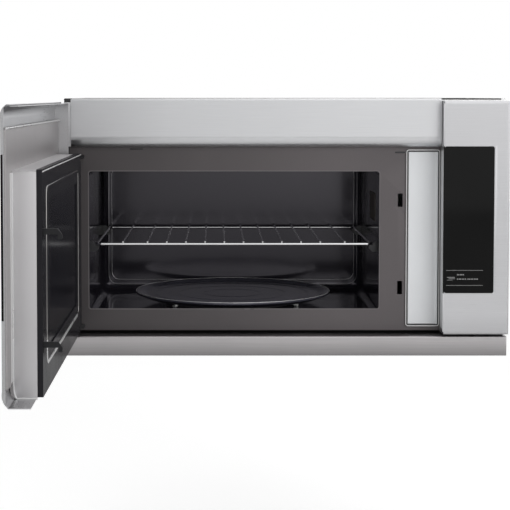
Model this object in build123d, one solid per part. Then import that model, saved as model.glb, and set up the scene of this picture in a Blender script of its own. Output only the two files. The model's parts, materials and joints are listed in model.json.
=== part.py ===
from build123d import *
import math
import os

# Over the range microwave, in millimetres.
# X is to the right as seen from the kitchen, Y is into the wall, Z is up.
# The origin is on the wall face, at the middle of the width, at the underside.
# The door is modelled closed and then swung open by a quarter turn.

# Whole appliance
body_width = 759.0
body_height = 440.0
body_depth = 378.0
door_thickness = 46.5
door_gap = 1.5
case_sheet = 1.0
sheet = 1.2
running = 0.05
slip = 0.3

half_width = body_width / 2
plate_face = -body_depth
plate_back = plate_face + sheet
door_inner = plate_face - door_gap
front_face = door_inner - door_thickness
rear_inner = -sheet
case_inner = half_width - case_sheet
case_top = body_height - case_sheet
case_corner = 3.0
lip_width = 9.7
lip_bottom = 36.0
case_seam = 14.0

# Front of the body, seen from the kitchen
strip_height = 33.5
strip_depth = 34.0
strip_lip = 13.0
strip_radius = 2.5
strip_side_gap = 0.5
plate_bottom = 39.0
recess_depth = 7.0
recess_top = 52.0
panel_bottom = 38.5
panel_top = body_height - 4.3
panel_left = half_width - 111.0
panel_radius = 5.0
panel_sheet = 1.6
band_left = -half_width + 13.5
band_right = panel_left - 0.5
band_bottom = body_height - 83.5
band_top = body_height - 1.7
band_depth = 20.0
band_curve_depth = 15.0
band_curve_height = 21.5
band_radius = 2.0

# Cavity
opening_left = -half_width + 42.1
opening_right = half_width - 215.5
opening_bottom = 76.2
opening_top = body_height - 125.5
opening_radius = 4.0
cavity_side_lip = 2.6
cavity_floor = 62.0
cavity_ceiling = opening_top + 1.5
cavity_back = -10.0
cavity_radius = 14.0
cavity_left = opening_left - cavity_side_lip
cavity_right = opening_right + cavity_side_lip
cavity_outer_right = cavity_right + sheet
cavity_top = cavity_ceiling + sheet
cavity_under = cavity_floor - sheet
cavity_middle = (cavity_left + cavity_right) / 2
cavity_centre = (plate_face + cavity_back) / 2

# Control glass and board
glass_right = half_width - 23.1
glass_bottom = 109.5
glass_top = body_height - 81.1
glass_thickness = 3.0
glass_radius = 4.0
glass_fit = 0.15
display_width = 56.0
display_height = 40.0
display_drop = 60.0
board_width = 72.0
board_height = 220.0
board_thickness = 1.6
board_gap = 14.0
post_radius = 3.0
post_inset = 6.0

# Grip pocket beside the opening
pocket_left = panel_left - 59.1
pocket_right = panel_left - 0.6
pocket_bottom = 46.0
pocket_top = body_height - 88.0
pocket_radius = 5.0
pocket_inner_radius = 1.8
pocket_bar = 3.5
pocket_thickness = 3.0
pad_groove = 0.6
pad_thickness = 1.5
pad_flat = 34.0
pad_rise = 14.0

# Hinge, seen from above
hinge_x = -half_width + 14.5
hinge_y = plate_face - 18.0
pin_radius = 3.0
pin_length = 14.0
tab_thickness = 6.0
tab_nose = 7.0
tab_left = hinge_x - 4.0
tab_right = hinge_x + 20.0
upper_tab = body_height - 103.7
lower_tab = 43.0
foot_height = 12.0
foot_thickness = 2.0
slot_gap = 0.3
notch_right = hinge_x + 30.0
block_height = 15.7
block_left = hinge_x - 6.0
block_depth = 16.0

# Door, closed
door_right = panel_left - 2.5
door_bottom = 39.5
door_top = body_height - 6.6
door_corner_drop = 2.0
door_edge_curve = 8.0
door_top_curve = 19.7
door_bottom_curve = 23.0
door_top_lip = 3.5
door_bottom_flange = 37.0
door_hinge_flange = 23.5
door_free_rim = 4.5
window_glass_left = -half_width + 49.5
window_glass_bottom = 154.0
window_glass_top = body_height - 71.0
view_left = opening_left + 52.4
view_right = opening_right - 44.0
view_bottom = 98.0
view_top = opening_top - 14.5
view_radius = 8.0
liner_thickness = 2.4
liner_top = body_height - 38.0
box_left = -half_width + 17.5
box_right = door_right - 59.0
box_bottom = 42.0
box_top = body_height - 94.5
cover_depth = 7.7
cover_wall = 2.0
cover_margin = 1.5
cover_left = box_left + 2.0
cover_radius = 3.0
ring_left = opening_left + 32.4
ring_right = opening_right - 4.0
ring_bottom = 78.0
ring_top = opening_top + 7.5
ring_radius = 14.0
ring_width = 3.0
ring_depth = 1.0
inner_glass_thickness = 2.0
inner_glass_lap = 6.0
screen_thickness = 0.8
screen_lap = 5.0

# Latch
slot_left = opening_right + 31.4
slot_right = slot_left + 8.6
slot_radius = 1.0
upper_slot_bottom = 252.9
lower_slot_bottom = 101.4
latch_slot_height = 23.1
hook_thickness = 3.0
hook_rise = 1.2
hook_height = 14.0
hook_neck = 8.0
hook_reach = 23.0
hook_barb = 6.0
latch_travel = 6.0
latch_bar_depth = 11.0
latch_overlap = 12.0
spring_radius = 4.0
spring_wire = 1.0
spring_length = 24.0

# Rack
rack_height = 186.5
rack_frame_wire = 2.2
rack_bend = 8.0
rack_overhang = 2.0
rack_cross_wire = 1.5
rack_side_gap = 14.5
rack_front_gap = 22.0
rack_rear_gap = 20.0
rack_weld = 0.3
cross_wires = 12
cross_pitch = 33.4
outer_cross = 193.0
support_height = 12.0
support_depth = 8.0
support_rise = 5.0

# Turntable
tray_radius = 180.0
tray_under = cavity_floor + 12.0
tray_rim = tray_under + 11.5
tray_glass = 5.0
tray_flat = 158.0
ring_outer = 121.0
ring_inner = 112.0
ring_height = 4.0
roller_radius = 5.95
roller_width = 6.0
roller_centre = 127.0
axle_radius = 1.5
axle_overhang = 3.0
roller_side_gap = 0.5
roller_first_angle = -26.0
coupler_radius = 11.0
coupler_lobes = 3
coupler_lobe_radius = 5.0
drive_shaft_radius = 3.5
drive_shaft_depth = 12.0
floor_hole_radius = 5.5
turn_motor_radius = 25.0
turn_motor_height = 16.0

# Microwave works
guide_depth = 38.0
guide_front = plate_face + 78.0
guide_rear = plate_face + 188.0
guide_top = body_height - 130.0
guide_bottom = guide_top - 130.0
port_width = 70.0
port_height = 34.0
mica_thickness = 0.8
mica_margin = 8.0
magnetron_length = 80.0
magnetron_width = 92.0
magnetron_height = 70.0
fin_count = 8
fin_thickness = 1.2
antenna_radius = 8.0
antenna_length = 22.0
transformer_size = 90.0
transformer_height = 74.0
transformer_x = half_width - 61.5
transformer_y = plate_face + 223.0
capacitor_length = 52.0
capacitor_width = 32.0
capacitor_height = 86.0
capacitor_x = half_width - 61.5
capacitor_y = plate_face + 78.0
terminal_radius = 2.5
terminal_height = 8.0

# Cooling fan
fan_x = half_width - 94.5
fan_z = 205.0
fan_radius = 70.0
fan_ring_gap = 4.0
fan_hub_radius = 16.0
fan_blades = 5
fan_width = 20.0
fan_blade_pitch = 28.0
fan_blade_thickness = 1.5
fan_motor_radius = 26.0
fan_motor_length = 40.0
fan_shaft_radius = 3.0
shroud_size = 170.0
shroud_depth = 50.0

# Vent blower
blower_half = 200.0
blower_depth = 126.0
blower_y = -76.0
blower_z = body_height - 62.0
blower_inlet = 38.0
blower_motor_radius = 40.0
blower_motor_half = 45.0
blower_shaft_radius = 4.0
wheel_radius = 52.0
wheel_inner = 44.0
wheel_length = 100.0
wheel_gap = 12.0
wheel_blades = 24
wheel_blade_thickness = 1.5
wheel_ring = 4.0
hub_radius = 12.0
duct_width = 254.0
duct_depth = 82.5
duct_rear_gap = 14.5
duct_radius = 3.0

# Filters, lamps and small parts
grease_length = 190.0
grease_width = 130.0
grease_height = 8.0
grease_x = 190.0
grease_right_x = half_width - 224.5
grease_y = plate_face + 178.0
grease_lap = 6.0
grease_travel = 12.0
grease_rib_pitch = 12.0
grease_rib = 3.0
rail_height = 9.7
lamp_x = half_width - 129.5
lamp_y = plate_face + 43.0
lens_size = 60.0
lens_lap = 4.0
lens_thickness = 2.5
lamp_radius = 8.0
lamp_length = 34.0
lamp_base = 22.0
charcoal_length = 300.0
charcoal_width = 140.0
charcoal_height = 12.0
charcoal_front = plate_face + 23.0
thermostat_x = cavity_left + 60.0
thermostat_y = cavity_centre
thermostat_radius = 8.0
thermostat_height = 7.0
bush_x = half_width - 49.5
bush_y = -45.0
bush_radius = 11.0
bush_bore = 8.0
bush_flange = 15.0
bolt_x = 170.0
bolt_y = plate_face + 48.0
bolt_radius = 3.4
nut_radius = 8.0
nut_height = 7.0
hang_slot_x = 250.0
hang_slot_z = 30.0
hang_slot_width = 24.0
hang_slot_height = 8.0


def block(x_span, y_span, z_span):
    # A box between low and high values on each axis.
    size = [high - low for low, high in (x_span, y_span, z_span)]
    middle = [(high + low) / 2 for low, high in (x_span, y_span, z_span)]
    return Pos(*middle) * Box(*size)


def front_rect(x_span, z_span, radius=0):
    # A rectangle as seen from the kitchen.
    width = x_span[1] - x_span[0]
    height = z_span[1] - z_span[0]
    shape = RectangleRounded(width, height, radius) if radius else Rectangle(width, height)
    return Pos(sum(x_span) / 2, sum(z_span) / 2) * shape


def slab(sketch, back, front):
    # A sketch seen from the kitchen, made solid from its back plane to its front plane.
    return extrude(Plane.XZ.offset(-back) * sketch, amount=back - front)


def along_x(face, low, high):
    # A side profile, drawn in Y and Z, made solid between two places on X.
    return extrude(Plane.YZ.offset(low) * face, amount=high - low, dir=(1, 0, 0))


def upright(x, y, low, high, radius):
    return Pos(x, y, (low + high) / 2) * Cylinder(radius, high - low)


def lying(x, z, rear, front, radius):
    # A cylinder along Y.
    return Pos(x, (rear + front) / 2, z) * Rot(90, 0, 0) * Cylinder(radius, rear - front)


def across(y, z, low, high, radius):
    # A cylinder along X.
    return Pos((low + high) / 2, y, z) * Rot(0, 90, 0) * Cylinder(radius, high - low)


def outline(*edges):
    return Face(Wire(list(edges)))


def swung(shape):
    # The closed door's place, turned open about the hinge.
    return shape.rotate(Axis((hinge_x, hinge_y, 0), (0, 0, 1)), -90)


# Body

def cavity_space(grow, front):
    # The oven's inside, rounded where the sheets meet.
    shape = block(
        (cavity_left - grow, cavity_right + grow),
        (front, cavity_back + grow),
        (cavity_floor - grow, cavity_ceiling + grow),
    )
    inner_edges = [e for e in shape.edges() if e.center().Y > front + 1]
    return fillet(inner_edges, cavity_radius + grow)


def make_cavity():
    shape = cavity_space(sheet, plate_back)
    shape -= cavity_space(0, plate_back - sheet)
    shape -= upright(cavity_middle, cavity_centre, cavity_under - 1, cavity_floor + 1, floor_hole_radius)
    port_y = (guide_front + guide_rear) / 2
    port_z = (guide_bottom + guide_top) / 2
    shape -= block(
        (cavity_right - 1, cavity_outer_right + 1),
        (port_y - port_width / 2, port_y + port_width / 2),
        (port_z - port_height / 2, port_z + port_height / 2),
    )
    return shape


def tab_slot(bottom):
    return front_rect(
        (tab_left - slot_gap, tab_right + slot_gap),
        (bottom - slot_gap, bottom + tab_thickness + slot_gap),
    )


def latch_slot(bottom):
    return front_rect((slot_left, slot_right), (bottom, bottom + latch_slot_height), slot_radius)


def make_front_plate():
    sketch = front_rect((-case_inner + slip, case_inner - slip), (plate_bottom, case_top))
    sketch -= front_rect((opening_left, opening_right), (opening_bottom, opening_top), opening_radius)
    for bottom in (upper_slot_bottom, lower_slot_bottom):
        sketch -= latch_slot(bottom)
    for bottom in (upper_tab, lower_tab):
        sketch -= tab_slot(bottom)
    return slab(sketch, plate_back, plate_face)


def make_outer_case():
    front = plate_face - sheet
    shape = block((-half_width, half_width), (front, rear_inner), (0, body_height))
    top_edges = [e for e in shape.edges().filter_by(Axis.Y) if e.center().Z > body_height - 1]
    shape = fillet(top_edges, case_corner)
    shape -= block((-case_inner, case_inner), (plate_face, 0), (-1, case_top))
    shape -= block((-half_width + lip_width, half_width + 1), (front - 1, plate_face), (-1, body_height + 1))
    shape -= block((-half_width - 1, half_width + 1), (front - 1, plate_face), (-1, lip_bottom))
    shape -= duct_hole(case_top - 1, body_height + 1)
    shape -= upright(bush_x, bush_y, case_top - 1, body_height + 1, bush_radius)
    for side in (-1, 1):
        shape -= upright(side * bolt_x, bolt_y, case_top - 1, body_height + 1, bolt_radius)
    seam = body_height - case_seam
    return shape - block((-half_width - 1, half_width + 1), (front - 1, 1), (seam, seam + slip))


def duct_hole(low, high):
    sketch = RectangleRounded(duct_width, duct_depth, duct_radius)
    place = Pos(0, -duct_rear_gap - duct_depth / 2, low)
    return extrude(place * sketch, amount=high - low)


def make_cabinet_nuts():
    # Weld nuts under the top for the bolts from the cabinet above.
    def nut(x):
        ring = RegularPolygon(nut_radius, 6) - Circle(bolt_radius)
        return extrude(Pos(x, bolt_y, case_top - nut_height) * ring, amount=nut_height)

    return nut(-bolt_x) + nut(bolt_x)


def make_rear_panel():
    sketch = front_rect((-half_width, half_width), (0, body_height), case_corner)
    for side in (-1, 1):
        centre = side * hang_slot_x
        sketch -= front_rect(
            (centre - hang_slot_width / 2, centre + hang_slot_width / 2),
            (hang_slot_z - hang_slot_height / 2, hang_slot_z + hang_slot_height / 2),
        )
    return slab(sketch, 0, rear_inner)


def grease_rails(centre):
    # Two bent rails that a filter slides between.
    shapes = []
    rail_half = grease_length / 2 + grease_travel
    for side in (-1, 1):
        inner = grease_y + side * (grease_width / 2 + slip)
        outer = inner + side * sheet
        lip = inner - side * grease_lap
        x_span = (centre - rail_half, centre + rail_half)
        top = sheet + rail_height
        shapes.append(block(x_span, sorted((inner, outer)), (sheet, top)))
        shapes.append(block(x_span, sorted((outer, lip)), (top - sheet, top)))
    return shapes


def grease_centres():
    return (-grease_x, grease_right_x)


def make_base_pan():
    front = plate_face - strip_depth + strip_lip
    shape = block((-case_inner, case_inner), (front, rear_inner), (0, sheet))
    recess = plate_back + recess_depth
    shape += block((-case_inner, case_inner), (recess, recess + sheet), (0, recess_top))
    for centre in grease_centres():
        hole_x = grease_length / 2 - grease_lap
        hole_y = grease_width / 2 - grease_lap
        shape -= block(
            (centre - hole_x, centre + hole_x), (grease_y - hole_y, grease_y + hole_y), (-1, sheet + 1)
        )
        for rail in grease_rails(centre):
            shape += rail
    for side in (-1, 1):
        hole = lens_size / 2 - lens_lap
        middle = side * lamp_x
        shape -= block((middle - hole, middle + hole), (lamp_y - hole, lamp_y + hole), (-1, sheet + 1))
    return shape


def make_bottom_strip():
    half = half_width - strip_side_gap
    front = plate_face - strip_depth
    shape = block((-half, half), (front, plate_face), (0, strip_height))
    front_edges = [e for e in shape.edges() if e.center().Y < front + 0.1]
    shape = fillet(front_edges, strip_radius)
    shape -= block((-half + sheet, half - sheet), (front + sheet, plate_face + 1), (sheet, strip_height - sheet))
    shape -= block((-half - 1, half + 1), (front + strip_lip, plate_face + 1), (-1, sheet))
    top = (strip_height - sheet, strip_height)
    return shape + block((-case_inner + slip, case_inner - slip), (plate_face, plate_back + recess_depth), top)


def band_profile(inset, back):
    # The vent band's section: flat face, small top radius, long curve under its bottom edge.
    face = plate_face - band_depth + inset
    top = band_top - inset
    bottom = band_bottom + inset
    corner = band_radius - inset if inset < band_radius else 0.1
    curve_start = band_bottom + band_curve_height
    curve_end = plate_face - band_depth + band_curve_depth
    return outline(
        Edge.make_line((back, top), (face + corner, top)),
        Edge.make_three_point_arc(
            (face + corner, top),
            (face + corner * (1 - math.sqrt(0.5)), top - corner * (1 - math.sqrt(0.5))),
            (face, top - corner),
        ),
        Edge.make_line((face, top - corner), (face, curve_start)),
        Edge.make_three_point_arc(
            (face, curve_start),
            (
                curve_end - (curve_end - face) * math.sqrt(0.5),
                curve_start - (curve_start - bottom) * math.sqrt(0.5),
            ),
            (curve_end, bottom),
        ),
        Edge.make_line((curve_end, bottom), (back, bottom)),
        Edge.make_line((back, bottom), (back, top)),
    )


def make_vent_band():
    shape = along_x(band_profile(0, plate_face), band_left, band_right)
    shape -= along_x(band_profile(sheet, plate_face + 1), band_left + sheet, band_right - sheet)
    return shape


def panel_space(inset):
    left = panel_left + inset
    right = half_width - inset
    front = front_face + inset
    back = plate_face + (1 if inset else 0)
    shape = block((left, right), (front, back), (panel_bottom + inset, panel_top - inset))
    radius = panel_radius - inset
    front_edges = [
        e for e in shape.edges() if e.center().Y < front + 0.1 and e.center().X > left + 0.1
    ]
    return fillet(front_edges, radius)


def glass_space(grow):
    return slab(
        front_rect(
            (panel_left - 1, glass_right + grow), (glass_bottom - grow, glass_top + grow), glass_radius
        ),
        front_face + glass_thickness + grow,
        front_face - 1,
    )


def make_control_bezel():
    # A pressed panel with a pocket that the glass drops into.
    shape = panel_space(0) - glass_space(0)
    shape -= panel_space(panel_sheet) - glass_space(panel_sheet)
    middle = (panel_left + glass_right) / 2
    top = glass_top - display_drop
    return shape - slab(
        front_rect(
            (middle - display_width / 2, middle + display_width / 2), (top - display_height, top)
        ),
        plate_face,
        front_face,
    )


def make_control_glass():
    sketch = front_rect(
        (panel_left, glass_right - glass_fit), (glass_bottom + glass_fit, glass_top - glass_fit), glass_radius
    )
    return slab(sketch, front_face + glass_thickness, front_face)


def board_place():
    middle = (panel_left + glass_right) / 2
    centre = (glass_bottom + glass_top) / 2
    front = front_face + glass_thickness + panel_sheet + board_gap
    return middle, centre, front


def make_control_board():
    middle, centre, front = board_place()
    x_span = (middle - board_width / 2, middle + board_width / 2)
    shape = slab(
        front_rect(x_span, (centre - board_height / 2, centre + board_height / 2)),
        front + board_thickness,
        front,
    )
    display_top = glass_top - display_drop
    shape += slab(
        front_rect(
            (middle - display_width / 2 + slip, middle + display_width / 2 - slip),
            (display_top - display_height + slip, display_top - slip),
        ),
        front,
        front_face + glass_thickness + slip,
    )
    relay = 18.0
    for row in range(3):
        low = centre - board_height / 2 + relay * (1 + 1.5 * row)
        shape += slab(
            front_rect((middle - relay / 2, middle + relay / 2), (low, low + relay)),
            front + board_thickness + relay,
            front + board_thickness,
        )
    return shape


def make_board_posts():
    middle, centre, front = board_place()
    back = front - board_gap
    posts = []
    for side in (-1, 1):
        for end in (-1, 1):
            x = middle + side * (board_width / 2 - post_inset)
            z = centre + end * (board_height / 2 - post_inset)
            posts.append(lying(x, z, front, back, post_radius))
    return Compound(children=posts)


def make_pocket_frame():
    sketch = front_rect((pocket_left, pocket_right), (pocket_bottom, pocket_top), pocket_radius)
    sketch -= front_rect(
        (pocket_left + pocket_bar, pocket_right - pocket_bar),
        (pocket_bottom + pocket_bar, pocket_top - pocket_bar),
        pocket_inner_radius,
    )
    return slab(sketch, plate_face, plate_face - pocket_thickness)


def make_grip_pad():
    # A plate that turns forward towards the control panel.
    left = pocket_left + pocket_bar + pad_groove
    right = pocket_right - pocket_bar - pad_groove
    low = pocket_bottom + pocket_bar + pad_groove
    high = pocket_top - pocket_bar - pad_groove
    bend = left + pad_flat
    run = right - bend
    rise = pad_rise + pocket_thickness
    centre = (bend, plate_face - rise)

    def bowl(inset):
        return Pos(*centre) * Ellipse(run - inset, rise - inset)

    ring = bowl(0) - bowl(pad_thickness)
    turned = ring & Pos(bend + run / 2, plate_face - rise / 2) * Rectangle(run, rise)
    flat = Pos((left + bend) / 2, plate_face - pad_thickness / 2) * Rectangle(bend - left, pad_thickness)
    return extrude(Pos(0, 0, low) * (turned + flat), amount=high - low, dir=(0, 0, 1))


def make_hinge_bracket(bottom, pin_up):
    # A tab through the front plate, with a foot behind it and the pin on its nose.
    tab = make_hull(
        (Pos(hinge_x, hinge_y) * Circle(tab_nose)).edges()
        + Polyline((tab_left, plate_face), (tab_right, plate_face)).edges()
    )
    shape = extrude(Pos(0, 0, bottom) * tab, amount=tab_thickness)
    shape += block((tab_left, tab_right), (plate_face, plate_back + foot_thickness), (bottom, bottom + tab_thickness))
    middle = bottom + tab_thickness / 2
    shape += block(
        (tab_left, tab_right),
        (plate_back, plate_back + foot_thickness),
        (middle - foot_height / 2, middle + foot_height / 2),
    )
    if pin_up:
        top = bottom + tab_thickness
        return shape + upright(hinge_x, hinge_y, top, top + pin_length, pin_radius)
    return shape + upright(hinge_x, hinge_y, bottom - pin_length, bottom, pin_radius)


def make_interlock_bracket():
    low = lower_slot_bottom - latch_overlap
    high = upper_slot_bottom + latch_slot_height + latch_overlap
    left = slot_right + 2
    depth = hook_reach + 20
    shape = block((left, left + sheet), (plate_back, plate_back + depth), (low, high))
    return shape + block((left, left + 12), (plate_back, plate_back + sheet), (low, high))


def make_interlock_switches():
    left = slot_right + 2 + sheet
    bodies = []
    for z in (lower_slot_bottom, upper_slot_bottom - 24, upper_slot_bottom + 4):
        bodies.append(block((left, left + 10), (plate_back + 14, plate_back + 34), (z, z + 16)))
    return Compound(children=bodies)


# Cavity fittings

def rack_spans():
    left = cavity_left + rack_side_gap
    right = cavity_right - rack_side_gap
    front = plate_face + rack_front_gap
    rear = cavity_back - rack_rear_gap
    return left, right, front, rear


def make_wire_rack():
    # A bent frame of one wire, with thinner wires welded across the top of it.
    left, right, front, rear = rack_spans()
    middle = (left + right) / 2
    corners = [(left, front), (left, rear), (right, rear), (right, front)]
    path = Pos(0, 0, rack_height) * FilletPolyline(*corners, radius=rack_bend, close=True)
    shape = sweep(Plane(origin=path @ 0, z_dir=path % 0) * Circle(rack_frame_wire), path=path)
    over = rack_height + rack_frame_wire + rack_cross_wire - rack_weld
    for index in range(cross_wires):
        step = index - (cross_wires - 1) / 2
        x = middle + step * cross_pitch
        if abs(step) > cross_wires / 2 - 1:
            x = middle + math.copysign(outer_cross, step)
        shape += lying(x, over, rear + rack_overhang, front - rack_overhang, rack_cross_wire)
    return shape


def make_rack_supports():
    left, right, front, rear = rack_spans()
    top = rack_height - rack_frame_wire
    clips = []
    for wall, wire, side in ((cavity_left, left, 1), (cavity_right, right, -1)):
        for y in (front + support_depth, rear - support_depth):
            x_span = sorted((wall, wire + side * (rack_frame_wire + 1)))
            clip = block(x_span, (y - support_depth / 2, y + support_depth / 2), (top - support_height, top))
            edge = wire + side * (rack_frame_wire + 1)
            lower = [
                e
                for e in clip.edges().filter_by(Axis.Y)
                if abs(e.center().X - edge) < 0.1 and e.center().Z < top - 1
            ]
            clip = chamfer(lower, support_height / 2)
            stand_x = sorted((wall, wire - side * (rack_frame_wire + 1)))
            stand = block(
                stand_x,
                (y - support_depth / 2, y + support_depth / 2),
                (top - support_height, rack_height + support_rise),
            )
            edge = wire - side * (rack_frame_wire + 1)
            upper = [
                e
                for e in stand.edges().filter_by(Axis.Y)
                if abs(e.center().X - edge) < 0.1 and e.center().Z > rack_height
            ]
            clips.append(clip + chamfer(upper, support_rise))
    return Compound(children=clips)


def make_turntable_tray():
    # A glass dish with a raised rim, turned about its middle.
    slope_top = tray_rim - tray_glass / 2
    profile = Polyline(
        (0, tray_under),
        (tray_flat, tray_under),
        (tray_radius, slope_top),
        (tray_radius, tray_rim),
        (tray_radius - tray_glass / 2, tray_rim),
        (tray_flat - tray_glass / 2, tray_under + tray_glass),
        (0, tray_under + tray_glass),
        close=True,
    )
    face = Plane.XZ * make_face(profile)
    return Pos(cavity_middle, cavity_centre, 0) * revolve(face, Axis.Z)


def roller_height():
    return cavity_floor + running + roller_radius


def make_roller_ring():
    middle = roller_height()
    ring = Cylinder(ring_outer, ring_height) - Cylinder(ring_inner, ring_height + 2)
    shape = Pos(0, 0, middle) * ring
    axle_end = roller_centre + roller_width / 2 + axle_overhang
    for index in range(3):
        angle = roller_first_angle + index * 120
        start = (ring_inner + ring_outer) / 2
        axle = across(0, middle, start, axle_end, axle_radius)
        shape += Rot(0, 0, angle) * axle
    return Pos(cavity_middle, cavity_centre, 0) * shape


def make_roller(index):
    low = roller_centre - roller_width / 2 + roller_side_gap
    high = roller_centre + roller_width / 2
    wheel = across(0, roller_height(), low, high, roller_radius)
    wheel -= across(0, roller_height(), low - 1, high + 1, axle_radius + running)
    angle = roller_first_angle + index * 120
    return Pos(cavity_middle, cavity_centre, 0) * (Rot(0, 0, angle) * wheel)


def make_drive_coupler():
    top = tray_under - running
    bottom = cavity_floor + slip
    shape = upright(0, 0, bottom, top, coupler_radius)
    for index in range(coupler_lobes):
        lobe = upright(coupler_radius, 0, bottom, top, coupler_lobe_radius)
        shape += Rot(0, 0, index * 360 / coupler_lobes) * lobe
    shape += upright(0, 0, cavity_under - drive_shaft_depth, bottom, drive_shaft_radius)
    return Pos(cavity_middle, cavity_centre, 0) * shape


def make_turntable_motor():
    bottom = cavity_under - turn_motor_height
    shape = upright(0, 0, bottom, cavity_under, turn_motor_radius)
    ear = turn_motor_radius + 10
    shape += block((-ear, ear), (-7, 7), (cavity_under - 2, cavity_under))
    shape -= upright(0, 0, cavity_under - drive_shaft_depth - 1, cavity_under + 1, drive_shaft_radius + running)
    return Pos(cavity_middle, cavity_centre, 0) * shape


# Microwave works in the right compartment

def make_waveguide():
    left = cavity_outer_right
    y_span = (guide_front, guide_rear)
    z_span = (guide_bottom, guide_top)
    shape = block((left, left + guide_depth), y_span, z_span)
    shape -= block(
        (left - 1, left + guide_depth - sheet),
        (guide_front + sheet, guide_rear - sheet),
        (guide_bottom + sheet, guide_top - sheet),
    )
    middle_y = sum(y_span) / 2
    middle_z = sum(z_span) / 2
    return shape - across(middle_y, middle_z, left, left + guide_depth + 1, antenna_radius + slip)


def make_waveguide_cover():
    middle_y = (guide_front + guide_rear) / 2
    middle_z = (guide_bottom + guide_top) / 2
    half_y = port_width / 2 + mica_margin
    half_z = port_height / 2 + mica_margin
    return block(
        (cavity_right - mica_thickness, cavity_right),
        (middle_y - half_y, middle_y + half_y),
        (middle_z - half_z, middle_z + half_z),
    )


def make_magnetron():
    left = cavity_outer_right + guide_depth
    middle_y = (guide_front + guide_rear) / 2
    middle_z = (guide_bottom + guide_top) / 2
    half_y = magnetron_width / 2
    half_z = magnetron_height / 2
    y_span = (middle_y - half_y, middle_y + half_y)
    shape = block((left, left + 3), y_span, (middle_z - half_z, middle_z + half_z))
    shape += across(middle_y, middle_z, left, left + magnetron_length, magnetron_height / 3)
    pitch = (magnetron_length - 30) / fin_count
    for index in range(fin_count):
        x = left + 12 + index * pitch
        shape += block((x, x + fin_thickness), y_span, (middle_z - half_z, middle_z + half_z))
    base = left + magnetron_length - 14
    shape += block((base, left + magnetron_length), y_span, (middle_z - half_z / 1.5, middle_z + half_z / 1.5))
    return shape + across(middle_y, middle_z, left - antenna_length, left, antenna_radius)


def make_transformer():
    half = transformer_size / 2
    core = block(
        (transformer_x - half, transformer_x + half),
        (transformer_y - half / 1.6, transformer_y + half / 1.6),
        (sheet, sheet + transformer_height),
    )
    coil_half = half * 0.62
    coil = block(
        (transformer_x - coil_half, transformer_x + coil_half),
        (transformer_y - half, transformer_y + half),
        (sheet + 14, sheet + transformer_height - 14),
    )
    coil = fillet(coil.edges().filter_by(Axis.Z), 8)
    return core + coil


def make_capacitor():
    can = extrude(
        Pos(capacitor_x, capacitor_y, sheet) * SlotOverall(capacitor_length, capacitor_width),
        amount=capacitor_height,
    )
    top = sheet + capacitor_height
    for side in (-1, 1):
        x = capacitor_x + side * capacitor_length / 5
        can += upright(x, capacitor_y, top, top + terminal_height, terminal_radius)
    return can


def make_fan_shroud():
    half = shroud_size / 2
    front = rear_inner - shroud_depth
    x_span = (fan_x - half, fan_x + half)
    z_span = (fan_z - half, fan_z + half)
    shape = block(x_span, (front, rear_inner), z_span)
    shape -= block(
        (x_span[0] + sheet, x_span[1] - sheet), (front + sheet, rear_inner + 1), (z_span[0] + sheet, z_span[1] - sheet)
    )
    return shape - lying(fan_x, fan_z, rear_inner, front - 1, fan_radius + fan_ring_gap)


def make_fan_motor():
    front = rear_inner - fan_motor_length
    shape = lying(fan_x, fan_z, rear_inner, front, fan_motor_radius)
    return shape - lying(fan_x, fan_z, rear_inner - 10, front - 1, fan_shaft_radius + running)


def make_fan_wheel():
    rear = rear_inner - fan_motor_length - 4
    front = rear - fan_width
    hub = lying(0, 0, rear, front, fan_hub_radius)
    blade_length = fan_radius - fan_hub_radius + 3
    blade = Pos(fan_hub_radius - 3 + blade_length / 2, (rear + front) / 2, 0) * (
        Rot(fan_blade_pitch, 0, 0) * Box(blade_length, fan_width, fan_blade_thickness)
    )
    shape = hub
    for index in range(fan_blades):
        shape += Rot(0, index * 360 / fan_blades, 0) * blade
    shape += lying(0, 0, rear_inner - 12, rear, fan_shaft_radius)
    return Pos(fan_x, 0, fan_z) * shape


def make_cavity_lamp():
    y = guide_rear + 60
    z = guide_top - 30
    socket = block((cavity_outer_right, cavity_outer_right + 18), (y - 14, y + 14), (z - 12, z + 12))
    return socket + across(y, z, cavity_outer_right + 18, cavity_outer_right + 40, 9)


def make_thermostat():
    shape = upright(thermostat_x, thermostat_y, cavity_top, cavity_top + thermostat_height, thermostat_radius)
    return shape + block(
        (thermostat_x - 2 * thermostat_radius, thermostat_x + 2 * thermostat_radius),
        (thermostat_y - thermostat_radius / 2, thermostat_y + thermostat_radius / 2),
        (cavity_top, cavity_top + 1),
    )


# Vent blower on top of the cavity

def make_blower_housing():
    y_span = (blower_y - blower_depth / 2, blower_y + blower_depth / 2)
    shape = block((-blower_half, blower_half), y_span, (cavity_top, case_top))
    shape -= block(
        (-blower_half + sheet, blower_half - sheet),
        (y_span[0] + sheet, y_span[1] - sheet),
        (cavity_top + sheet, case_top - sheet),
    )
    shape -= duct_hole(case_top - 2 * sheet, case_top + 1)
    return shape - across(blower_y, blower_z, -blower_half - 1, blower_half + 1, blower_inlet)


def make_blower_motor():
    shape = across(blower_y, blower_z, -blower_motor_half, blower_motor_half, blower_motor_radius)
    foot = blower_motor_half / 2
    shape += block((-foot, foot), (blower_y - foot, blower_y + foot), (cavity_top + sheet, blower_z))
    return shape - across(
        blower_y, blower_z, -blower_motor_half - 1, blower_motor_half + 1, blower_shaft_radius + running
    )


def wheel_start():
    return blower_motor_half + wheel_gap


def make_blower_shaft():
    end = wheel_start() + wheel_length - 8
    return across(blower_y, blower_z, -end, end, blower_shaft_radius)


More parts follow.
